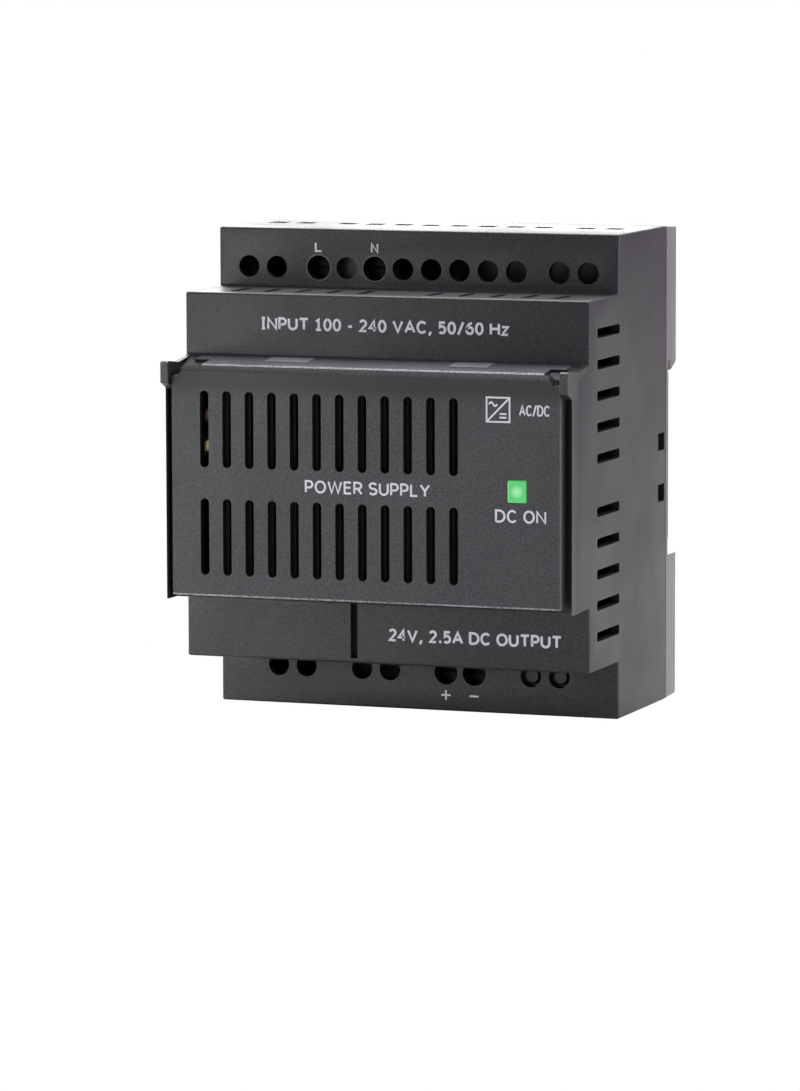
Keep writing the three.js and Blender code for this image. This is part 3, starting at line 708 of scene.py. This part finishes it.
# ---- flap ----
def flap_outline(bead):
    """The flap's side view: a flat face, and a top that is round about the hinge."""
    face_top, chamfer = 20.2, 0.95
    first, last, steps = 86, 31, 8
    arc = []
    for i in range(steps + 1):
        angle = math.radians(first + (last - first) * i / steps)
        arc.append((HINGE_Y + HINGE_REACH * math.cos(angle), HINGE_Z + HINGE_REACH * math.sin(angle)))
    return [
        (FLAP_FRONT + bead, FLAP_LOW[2]),
        (FLAP_FRONT, FLAP_LOW[2] + bead),
        (FLAP_FRONT, face_top),
        (FLAP_FRONT + chamfer, face_top + chamfer),
        *arc,
        (FLAP_BACK, FLAP_LOW[2]),
    ]


def flap_openings():
    """Slots with round ends in the flap's face, and the indicator's window."""
    half = 0.85
    tools = []
    for i in range(SLOT_COUNT):
        x = FIRST_SLOT + SLOT_PITCH * i
        for middle in SLOT_MIDDLES:
            low, high = middle - SLOT_HALF, middle + SLOT_HALF
            face = rounded(x - half, x + half, low, high, half - 0.02)
            tools.append(prism("y", face, FLAP_FRONT - 1, FLAP_FRONT + 1.5))
            narrow = half - 0.01
            depth = FLAP_FRONT + 1.2, FLAP_FRONT + 3
            tools.append(block(x - narrow, x + narrow, *depth, low + 0.05, high - 0.05))
    clear = 0.1
    window = rounded(
        LENS_LOW[0] - clear,
        LENS_HIGH[0] + clear,
        LENS_LOW[2] - clear,
        LENS_HIGH[2] + clear,
        0.25,
        3,
    )
    tools.append(prism("y", window, FLAP_FRONT - 1, FLAP_FRONT + 3))
    return tools


def flap():
    """The slotted plate and its two pins."""
    bead = 0.35
    made = start("vent_flap", prism("x", flap_outline(bead), -FLAP_HALF, FLAP_HALF))
    corners = []
    for side in SIDES:
        corner = [
            (side * (FLAP_HALF + 1), 19.3),
            (side * (FLAP_HALF - 1.2), 19.3),
            (side * (FLAP_HALF - 3), 22),
            (side * (FLAP_HALF + 1), 22),
        ]
        corners.append(prism("y", corner, FLAP_FRONT - 1, FLAP_BACK + 1))
    combine(made, corners)
    inner = FLAP_HALF - 1.2
    combine(made, [block(-inner, inner, FLAP_FRONT + 1.8, FLAP_BACK + 2, -20.2, 17)])
    combine(made, flap_openings(), overlapping=True)
    pins = []
    for side in SIDES:
        pins.append(rod("x", HINGE_Y, HINGE_Z, 0.9, *span(side, FLAP_HALF - 0.6, HALF - 0.8), 24))
    combine(made, pins, "UNION")
    end = FLAP_HALF - 0.1
    crest = 20

    def in_slots(at, way):
        return FLAP_FRONT + 0.02 < at.y < FLAP_BACK - 0.02 and abs(at.x) < end and abs(at.z) < 16.7

    def highlight_on_bead(at, way):
        return at.z < FLAP_LOW[2] + 0.5 and way.y < -0.4 and way.z < -0.4

    # Painted light: the slots' walls get black painted shade, the bottom bead a painted highlight, the crest
    # painted shade, and the right side face, which lies in the wall's shadow, a painted light grey.
    paint_faces(
        made,
        (BLACK_PAINTED_SHADE, in_slots),
        (EDGE_PAINTED_HIGHLIGHT, highlight_on_bead),
        (CREST_PAINTED_SHADE, lambda at, way: at.z > crest and way.z > 0.4),
        (FLAP_SIDE_PAINTED_LIGHT, lambda at, way: way.x > 0.9 and at.x > end),
    )
    finish(made, FLAP, "flap", ["front_flap"], edge=0.12, angle=38)


def lens():
    """The indicator's lens, held in the flap's window."""
    outline = rounded(LENS_LOW[0], LENS_HIGH[0], LENS_LOW[2], LENS_HIGH[2], 0.25, 4)
    made = start("indicator_lens", prism("y", outline, LENS_LOW[1], LENS_HIGH[1]))
    finish(made, LENS, "flap", ["led_lens"], edge=0.2, segments=3)


flap()
lens()


# ---- printed marks ----
def curve(a, b, half_a, half_b, first, last, steps=14):
    """Points along an ellipse from one angle to another, in degrees anticlockwise from +a."""
    angles = (math.radians(first + (last - first) * i / steps) for i in range(steps + 1))
    return [(a + half_a * math.cos(t), b + half_b * math.sin(t)) for t in angles]


def bowl(low, high, depth=0.5):
    """The round side of a P, R or D, from its top to its foot."""
    return curve(1 - depth, (low + high) / 2, depth, (high - low) / 2, 90, -90)


RING = curve(0.5, 0.5, 0.5, 0.5, 90, 446, 28)
# Each sign is its width over its height, then its pen strokes in a unit square.
SIGNS = {
    "A": (0.8, [[(0, 0), (0.5, 1), (1, 0)], [(0.2, 0.33), (0.8, 0.33)]]),
    "C": (0.72, [curve(0.55, 0.5, 0.55, 0.5, 42, 318, 22)]),
    "D": (0.76, [[(0, 0), (0, 1), *bowl(0, 1, 0.6), (0, 0)]]),
    "E": (0.56, [[(1, 1), (0, 1), (0, 0), (1, 0)], [(0, 0.53), (0.92, 0.53)]]),
    "H": (0.72, [[(0, 0), (0, 1)], [(1, 0), (1, 1)], [(0, 0.53), (1, 0.53)]]),
    "I": (0.3, [[(0.5, 0), (0.5, 1)], [(0, 0), (1, 0)], [(0, 1), (1, 1)]]),
    "L": (0.55, [[(0, 1), (0, 0), (1, 0)]]),
    "N": (0.72, [[(0, 0), (0, 1), (1, 0), (1, 1)]]),
    "O": (0.84, [RING]),
    "P": (0.58, [[(0, 0), (0, 1), *bowl(0.42, 1), (0, 0.42)]]),
    "R": (0.62, [[(0, 0), (0, 1), *bowl(0.46, 1), (0, 0.46)], [(0.45, 0.46), (1.05, 0)]]),
    "S": (0.6, [curve(0.5, 0.755, 0.5, 0.245, 25, 262) + curve(0.5, 0.255, 0.5, 0.255, 82, -155)]),
    "T": (0.74, [[(0, 1), (1, 1)], [(0.5, 1), (0.5, 0)]]),
    "U": (0.7, [[(0, 1), *curve(0.5, 0.36, 0.5, 0.36, 180, 360), (1, 1)]]),
    "V": (0.78, [[(0, 1), (0.5, 0), (1, 1)]]),
    "W": (1.15, [[(0, 1), (0.25, 0), (0.5, 0.98), (0.75, 0), (1, 1)]]),
    "Y": (0.74, [[(0, 1), (0.5, 0.46), (1, 1)], [(0.5, 0.46), (0.5, 0)]]),
    "z": (0.5, [[(0, 0.72), (1, 0.72), (0, 0), (1, 0)]]),
    "0": (0.56, [RING]),
    "1": (0.46, [[(0, 0.78), (0.5, 0.97), (0.5, 0)], [(0, 0), (1, 0)]]),
    "2": (0.54, [[*curve(0.48, 0.72, 0.48, 0.28, 160, -30), (0, 0), (1, 0)]]),
    "4": (0.58, [[(0.75, 0), (0.75, 1), (0, 0.3), (1.05, 0.3)]]),
    "5": (0.52, [[(0.95, 1), (0.1, 1), (0.06, 0.56), *curve(0.42, 0.32, 0.55, 0.32, 110, -140)]]),
    "6": (0.56, [curve(0.95, 0.36, 0.95, 0.64, 95, 180) + curve(0.5, 0.31, 0.5, 0.31, 180, 536, 24)]),
    "-": (0.34, [[(0, 0.38), (1, 0.38)]]),
    "/": (0.46, [[(0, -0.1), (1, 1.08)]]),
    ",": (0.2, [[(0.8, 0.1), (0.1, -0.26)]]),
    ".": (0.2, [[(0, 0.04), (1, 0.04)]]),
}


def ribbon(path, width):
    """The left and right edges of a pen stroke, with mitred corners."""
    edges = []
    for i, (a, b) in enumerate(path):
        before = Vector(path[max(i - 1, 0)])
        after = Vector(path[min(i + 1, len(path) - 1)])
        here = Vector((a, b))
        ways = [way.normalized() for way in (here - before, after - here) if way.length > 1e-6]
        mean = sum(ways, Vector((0, 0))).normalized()
        across = Vector((-mean.y, mean.x)) * width / 2 / max(mean.dot(ways[0]), 0.55)
        edges.append((here + across, here - across))
    return edges


def ink(name, paths, body, front, width, material=PRINT):
    """White print on a front face. Each stroke stands a hair prouder than the last one."""
    sunk, coat, step = 0.02, 0.03, 0.001
    points, faces = [], []
    for layer, path in enumerate(paths):
        first = len(points)
        for left, right in ribbon(path, width):
            for y in (front - coat - layer * step, front + sunk):
                points += [(left.x, y, left.y), (right.x, y, right.y)]
        last = len(points) - 4
        for i in range(first, last, 4):
            for p, q in ((0, 1), (1, 3), (3, 2), (2, 0)):
                faces.append([i + p, i + q, i + 4 + q, i + 4 + p])
        faces += [[first, first + 1, first + 3, first + 2], [last, last + 1, last + 3, last + 2]]
    return finish(start(name, (points, faces)), material, body, edge=0)


def lettering(name, words, body, front, left, right, low, high, width):
    """A line of capitals as wide and as tall as its box."""
    gap, space = 0.3, 0.45
    strokes, reach = [], 0.0
    for sign in words:
        if sign == " ":
            reach += space
            continue
        wide, paths = SIGNS[sign]
        strokes += [[(reach + wide * a, b) for a, b in path] for path in paths]
        reach += wide + gap
    across = (right - left - width) / (reach - gap)
    tall = high - low - width
    first, foot = left + width / 2, low + width / 2
    ends = [[(first + across * a, foot + tall * b) for a, b in path] for path in strokes]
    return ink(name, ends, body, front, width)


def printed_marks():
    """The title, the ratings, the indicator's label, and the marks beside the live terminals."""
    bold, medium = 0.46, 0.38
    rating = "INPUT 100 - 240 VAC, 50/60 Hz"
    lettering("print_input", rating, "enclosure", PORT_FRONT, -24.6, 24.1, 27.2, 29.6, bold)
    lettering("print_output", "24V, 2.5A DC OUTPUT", "enclosure", PORT_FRONT, 0.5, 34.3, -29.9, -27.5, bold)
    lettering("print_title", "POWER SUPPLY", "flap", FLAP_FRONT, -11.5, 12.9, -1.6, 0.8, medium)
    lettering("print_dc_on", "DC ON", "flap", FLAP_FRONT, 25.4, 35.2, -5.7, -3.3, medium)
    for name, node in (("L", "line"), ("N", "neutral")):
        x = HOLE_PITCH * LIVE[node][0]
        lettering("print_" + node, name, "enclosure", TERMINAL_FRONT, x - 0.75, x + 0.75, 40.6, 42.5, 0.36)
        # Painted highlight: a thin ring of the lighter ledge grey round each live hole, where its rim
        # catches the light.
        rim = curve(x, HOLE_HEIGHT, 2.42, 2.42, 0, 360, 40)
        ink("hole_rim_painted_highlight_" + node, [rim], "enclosure", TERMINAL_FRONT, 0.18, LEDGE_PAINTED_LIGHT)
    level, arm = -42.0, 0.9
    plus, minus = (HOLE_PITCH * LIVE[node][0] for node in ("plus", "minus"))
    bars = [[(plus - arm, level), (plus + arm, level)], [(plus, level - arm), (plus, level + arm)]]
    ink("print_plus", bars, "enclosure", TERMINAL_FRONT, 0.36)
    ink("print_minus", [[(minus - arm, level), (minus + arm, level)]], "enclosure", TERMINAL_FRONT, 0.36)


def converter_symbol():
    """The usual drawing symbol of a converter: alternating current in, direct current out."""
    x, z, half, line = 26.0, 14.8, 2.2, 0.32
    corners = ((-1, 0), (-1, 1), (1, 1), (1, -1), (-1, -1), (-1, 0))
    square = [(x + half * a, z + half * b) for a, b in corners]
    wave = [(x - 1.75 + 0.1 * i, z + 1.0 + 0.35 * math.sin(math.tau * i / 16)) for i in range(17)]
    bars = [[(x + 0.3, z + h), (x + 1.6, z + h)] for h in (-1.4, -0.75)]
    slash = [(x - half, z - half), (x + half, z + half)]
    ink("print_symbol", [square, slash, wave, *bars], "flap", FLAP_FRONT, line)
    lettering("print_conversion", "AC/DC", "flap", FLAP_FRONT, 30.0, 35.9, 13.8, 15.8, 0.3)


printed_marks()
converter_symbol()


# ---- rear base and latch ----
def rear_base():
    """The part behind the parting line, with the rail's channel between its two rear blocks."""
    low, high = BASE_LOW[1], BASE_HIGH[1]
    relief, pad_low, pad_high = -0.3, -14.4, 17.2
    lower_head, hook_tip, upper_foot, hook_depth = -17.5, 17.5, 19.4, 1.25
    outline = [
        (-1.3, TOP),
        (-1.3, -TOP),
        (high, -TOP + 0.3),
        (high, lower_head),
        (relief, lower_head),
        (relief, pad_low),
        (0, pad_low),
        (0, pad_high),
        (relief, pad_high),
        (relief, upper_foot),
        (hook_depth, upper_foot),
        (hook_depth, hook_tip),
        (high, 19.2),
        (high, TOP - 0.3),
    ]
    made = start("rear_base_skin", prism("x", outline, -HALF, HALF))
    round_edges(made, 0.5, 3, keep=lambda a, b: (a.y < 1 and b.y < 1) or max(abs(a.z), abs(b.z)) < 19.3)
    clear = 0.3
    path = [
        block(-7 - clear, 7 + clear, LATCH_LOW[1] - clear, high + 1, -TOP - 1, -16.5),
        block(-38 - clear, 38 + clear, LATCH_LOW[1] - clear, high + 1, -27.3, -16.5),
    ]
    combine(made, path, overlapping=True)
    combine(made, [block(-17, 17, 1.5, 2.2, TOP - 0.6, TOP + 1)])
    lips = [block(*span(side, 5.4, 8), LATCH_HIGH[1] + 0.2, high - 0.02, -41.5, -28.3) for side in SIDES]
    combine(made, lips, "UNION")
    bosses = [rod("y", x, z, 2.5, low, -1, 24) for x in (-33, 33) for z in (-37, 37)]
    spring_seat = block(-1.2, 1.2, LATCH_LOW[1] - 0.5, LATCH_HIGH[1] - 0.2, -39.8, -38)
    combine(made, [*bosses, spring_seat], "UNION")
    beside_latch = 12.5
    hollows = []
    for side in SIDES:
        upper = rounded(*span(side, 5, 34), 25.5, 39.5, 1.5)
        lower = rounded(*span(side, beside_latch, 34), -40.5, -30.5, 1.5)
        hollows += [prism("y", shape, high - 0.5, high + 1) for shape in (upper, lower)]
    combine(made, hollows)
    ribs = []
    for side in SIDES:
        for i in range(4):
            x = side * (11 + 6 * i)
            ribs.append(block(x - 0.4, x + 0.4, high - 0.8, high - 0.05, 25.2, 39.8))
            if x * side > beside_latch:
                ribs.append(block(x - 0.4, x + 0.4, high - 0.8, high - 0.05, -40.8, -30.2))
    ejector_marks = [rod("y", x, z, 2, -0.15, 1, 32) for x in (-28, 28) for z in (-8, 12)]
    combine(made, ribs, "UNION")
    combine(made, ejector_marks)
    # Its light grey is a painted highlight from the back light.
    finish(made, REAR_PAINTED_LIGHT, "enclosure", ["rear_base"], edge=0.15, angle=40)


def latch():
    """A nose nearly as wide as the base, and a tongue below it to pull it down by."""
    front, back = LATCH_LOW[1], LATCH_HIGH[1]
    nose = [(front, -23), (back, -23), (back, -17.1), (front + 0.8, -14.9), (front, -14.9)]
    made = start("rail_latch", prism("x", nose, -38, 38))
    combine(made, [block(-7, 7, front, back, LATCH_LOW[2], -22.5)], "UNION")
    combine(
        made,
        [
            prism("y", rounded(-1.8, 1.8, -40.1, -27.7, 0.4, 3), front - 1, back + 1),
            prism("y", rounded(-2.6, 2.6, -43.7, -42, 0.3, 3), front - 1, back + 1),
        ],
    )
    ribs = [block(-5, 5, back - 0.6, back + 1, z, z + 0.5) for z in (-26.2, -25.2, -24.2)]
    combine(made, ribs)
    finish(made, LATCH, "latch", ["din_latch"], edge=0.15)


def spring():
    """The latch's return spring, closed at both ends; it shortens as the latch is pulled down."""
    low, high = box_mm("latch_spring")
    wire, turns, around, sides = 0.22, 7, 20, 8
    radius = (high[0] - low[0]) / 2 - wire
    middle = (low[1] + high[1]) / 2
    foot, head = low[2] + wire, high[2] - wire
    closed = 1 / turns
    points, faces = [], []
    count = turns * around
    for i in range(count + 1):
        share = i / count
        # The first and the last turn lie flat, and the turns between climb evenly.
        climb = min(max((share - closed) / (1 - 2 * closed), 0), 1)
        rise = foot + 2 * wire * share + (head - foot - 2 * wire) * climb
        angle = math.tau * turns * share
        out = Vector((math.cos(angle), math.sin(angle), 0))
        centre = Vector((0, middle, rise)) + radius * out
        for k in range(sides):
            turn = math.tau * k / sides
            points.append(centre + wire * (math.cos(turn) * out + math.sin(turn) * Vector((0, 0, 1))))
    for i in range(count):
        for k in range(sides):
            a, b = i * sides + k, i * sides + (k + 1) % sides
            faces.append([a, b, b + sides, a + sides])
    faces += [list(range(sides)), list(range(count * sides, (count + 1) * sides))]
    made = start("return_spring", (points, faces))
    finish(made, SPRING, "enclosure", ["latch_spring"], edge=0)
    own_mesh(made)


rear_base()
latch()
spring()


# ---- vent film, and sheets of painted shade ----
FILM_LOW, FILM_HIGH = 2.9, 12.4  # heights of the one that light comes through


def film_material():
    """Thin insulating film that lets daylight through, cream below and pink above."""
    material, tree, shader = new_material("vent_film", Roughness=0.5)
    where = tree.nodes.new("ShaderNodeTexCoord")
    axes = tree.nodes.new("ShaderNodeSeparateXYZ")
    rise = tree.nodes.new("ShaderNodeMapRange")
    socket(rise, "From Min", (FILM_LOW + MIDDLE) * MM)
    socket(rise, "From Max", (FILM_HIGH + MIDDLE) * MM)
    tree.links.new(where.outputs["Object"], axes.inputs["Vector"])
    tree.links.new(axes.outputs["Z"], rise.inputs["Value"])
    tint = ramp(tree, rise.outputs["Result"], (0.66, 0.6, 0.46), (0.36, 0.26, 0.27), 0.4, 0.6)
    through = tree.nodes.new("ShaderNodeBsdfTranslucent")
    mix = tree.nodes.new("ShaderNodeMixShader")
    socket(mix, "Fac", 0.8)
    tree.links.new(tint.outputs["Color"], through.inputs["Color"])
    tree.links.new(tint.outputs["Color"], shader.inputs["Base Color"])
    tree.links.new(shader.outputs["BSDF"], mix.inputs[1])
    tree.links.new(through.outputs["BSDF"], mix.inputs[2])
    tree.links.new(mix.outputs["Shader"], tree.nodes["Material Output"].inputs["Surface"])
    return material


def vent_films():
    """Sheets stuck inside the mains side's wall: a film in the middle lets light through a few vents, and
    the black sheets above and below it are painted shade that keeps the other vents black inside.
    """
    wall = -HALF + WALL + 0.05
    thick = 0.12
    depth = (-44, -28)
    # The low and high sheets are black painted shade; the middle one is the translucent film.
    for name, low, high, material in (
        ("vent_sheet_painted_shade_low", -31.5, FILM_LOW - 0.1, EPOXY),
        ("vent_film_middle", FILM_LOW, FILM_HIGH, film_material()),
        ("vent_sheet_painted_shade_high", FILM_HIGH + 0.1, 31.5, EPOXY),
    ):
        sheet = prism("x", rounded(*depth, low, high, 1.0, 4), wall, wall + thick)
        finish(start(name, sheet), material, "enclosure", edge=0)


vent_films()


# ---- CAD nodes that stay, with their finish ----
CARRIED = {
    "insulating_sheet": PAPER,
    "main_board": BOARD,
    "indicator_card": BOARD,
    "input_terminal_block": BLOCK_PAINTED_SHADE,
    "output_terminal_block": BLOCK_PAINTED_SHADE,
    "blank_plug_1": HOUSING,
    "blank_plug_2": HOUSING,
    "transformer_core": FERRITE,
    "transformer_winding": TAPE,
    "bulk_capacitor": SLEEVE,
    "output_capacitor_1": SLEEVE,
    "output_capacitor_2": SLEEVE,
    "x_capacitor": FILM,
    "y_capacitor": DISC,
    "choke_core": FERRITE,
    "choke_winding_left": COPPER,
    "choke_winding_right": COPPER,
    "bridge_rectifier": EPOXY,
    "fuse": TUBE,
    "thermistor": EPOXY,
    "primary_heatsink": ALUMINIUM,
    "secondary_heatsink": ALUMINIUM,
    "switching_transistor": EPOXY,
    "output_diode": EPOXY,
    "optocoupler": EPOXY,
    "control_ic": EPOXY,
    "output_inductor": FERRITE,
    "trimmer_body": TRIMMER,
    "trimmer_rotor": STEEL,
    "status_led": LENS,
    "board_screw_1": STEEL,
    "board_screw_2": STEEL,
}
for live in LIVE:
    CARRIED["terminal_screw_" + live] = BLACK_STEEL
    CARRIED["clamp_cage_" + live] = STEEL
    CARRIED["contact_bar_" + live] = BRASS


def carry(node, material):
    """A CAD node keeps its shape: it gets its material and softened edges."""
    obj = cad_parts[node]
    obj.data.materials.clear()
    obj.data.materials.append(material)
    bevel = obj.modifiers.new("edges", "BEVEL")
    bevel.width = 0.12 * MM
    bevel.segments = 2
    bevel.limit_method = "ANGLE"
    bevel.angle_limit = math.radians(40)


for node, material in CARRIED.items():
    carry(node, material)


# ---- studio ----
def studio():
    scene = bpy.context.scene
    scene.view_settings.view_transform = "Standard"
    scene.view_settings.look = "None"
    world = bpy.data.worlds.new("studio")
    scene.world = world
    world.use_nodes = True
    tree = world.node_tree
    ambient = tree.nodes["Background"]
    socket(ambient, "Color", (1.0, 0.955, 1.02, 1))
    socket(ambient, "Strength", 0.36)
    backdrop = tree.nodes.new("ShaderNodeBackground")
    socket(backdrop, "Color", (1, 1, 1, 1))
    socket(backdrop, "Strength", 1.0)
    path = tree.nodes.new("ShaderNodeLightPath")
    pick = tree.nodes.new("ShaderNodeMixShader")
    tree.links.new(path.outputs["Is Camera Ray"], pick.inputs["Fac"])
    tree.links.new(ambient.outputs["Background"], pick.inputs[1])
    tree.links.new(backdrop.outputs["Background"], pick.inputs[2])
    tree.links.new(pick.outputs["Shader"], tree.nodes["World Output"].inputs["Surface"])
    floor_height = cad_box[0].z - 5 * MM  # clear of the latch when it is pulled down
    bpy.ops.mesh.primitive_plane_add(size=12, location=(0, 0, floor_height))
    floor = bpy.context.object
    floor.name = "studio_floor"
    paint, tree, shader = new_material("floor_paint", Roughness=0.9)
    patch = noise(tree, 3, 2)
    tint = ramp(tree, patch.outputs["Fac"], grey(0.5), grey(0.55))
    tree.links.new(tint.outputs["Color"], shader.inputs["Base Color"])
    lit = tree.nodes.new("ShaderNodeEmission")
    mix = tree.nodes.new("ShaderNodeMixShader")
    path = tree.nodes.new("ShaderNodeLightPath")
    tree.links.new(path.outputs["Is Camera Ray"], mix.inputs["Fac"])
    tree.links.new(shader.outputs["BSDF"], mix.inputs[1])
    tree.links.new(lit.outputs["Emission"], mix.inputs[2])
    # Its underside is clear, so that the object's own underside can be looked at.
    side = tree.nodes.new("ShaderNodeNewGeometry")
    clear = tree.nodes.new("ShaderNodeBsdfTransparent")
    faces = tree.nodes.new("ShaderNodeMixShader")
    tree.links.new(side.outputs["Backfacing"], faces.inputs["Fac"])
    tree.links.new(mix.outputs["Shader"], faces.inputs[1])
    tree.links.new(clear.outputs["BSDF"], faces.inputs[2])
    tree.links.new(faces.outputs["Shader"], tree.nodes["Material Output"].inputs["Surface"])
    floor.data.materials.append(paint)


def area_light(name, place, aim, size, power, colour=(1, 1, 1)):
    data = bpy.data.lights.new(name, "AREA")
    data.shape = "RECTANGLE"
    data.size, data.size_y = size
    data.energy = power
    data.color = colour
    lamp = bpy.data.objects.new(name, data)
    bpy.context.scene.collection.objects.link(lamp)
    lamp.location = place
    lamp.rotation_mode = "QUATERNION"
    lamp.rotation_quaternion = (Vector(aim) - Vector(place)).to_track_quat("-Z", "Y")
    return lamp


def camera():
    """A long lens from the right and a little above, aimed at the housing's front."""
    azimuth, elevation, roll = (math.radians(a) for a in (20.32, 6.64, -0.16))
    distance = 1094 * MM
    target = Vector((-3.51, -30.0, -14.13 + MIDDLE)) * MM
    back = Vector(
        (
            math.sin(azimuth) * math.cos(elevation),
            -math.cos(azimuth) * math.cos(elevation),
            math.sin(elevation),
        )
    )
    data = bpy.data.cameras.new("camera")
    data.sensor_width = 36
    data.lens = 192.6
    data.clip_start, data.clip_end = 0.05, 50
    made = bpy.data.objects.new("camera", data)
    bpy.context.scene.collection.objects.link(made)
    made.location = target + back * distance
    made.rotation_mode = "QUATERNION"
    made.rotation_quaternion = (-back).to_track_quat("-Z", "Y")
    made.rotation_quaternion = made.rotation_quaternion @ Matrix.Rotation(roll, 4, "Z").to_quaternion()
    bpy.context.scene.camera = made


studio()
area_light("back_sheet", (-0.45, 0.95, 0.45), (0, -0.02, 0), (1.3, 0.8), 18)
area_light("overhead", (0.0, 0.2, 0.9), (0, -0.03, 0), (0.8, 0.5), 15)
area_light("left_low", (-0.22, -0.12, -0.035), (-0.03, -0.03, -0.04), (0.06, 0.06), 0.26)
area_light("front_left", (-0.28, -0.44, -0.02), (-0.02, -0.05, -0.01), (0.2, 0.2), 0.85)
area_light("right_key", (1.0, 0.1, 0.25), (0, -0.03, 0), (0.5, 0.7), 7, (1.0, 0.9, 1.0))
camera()
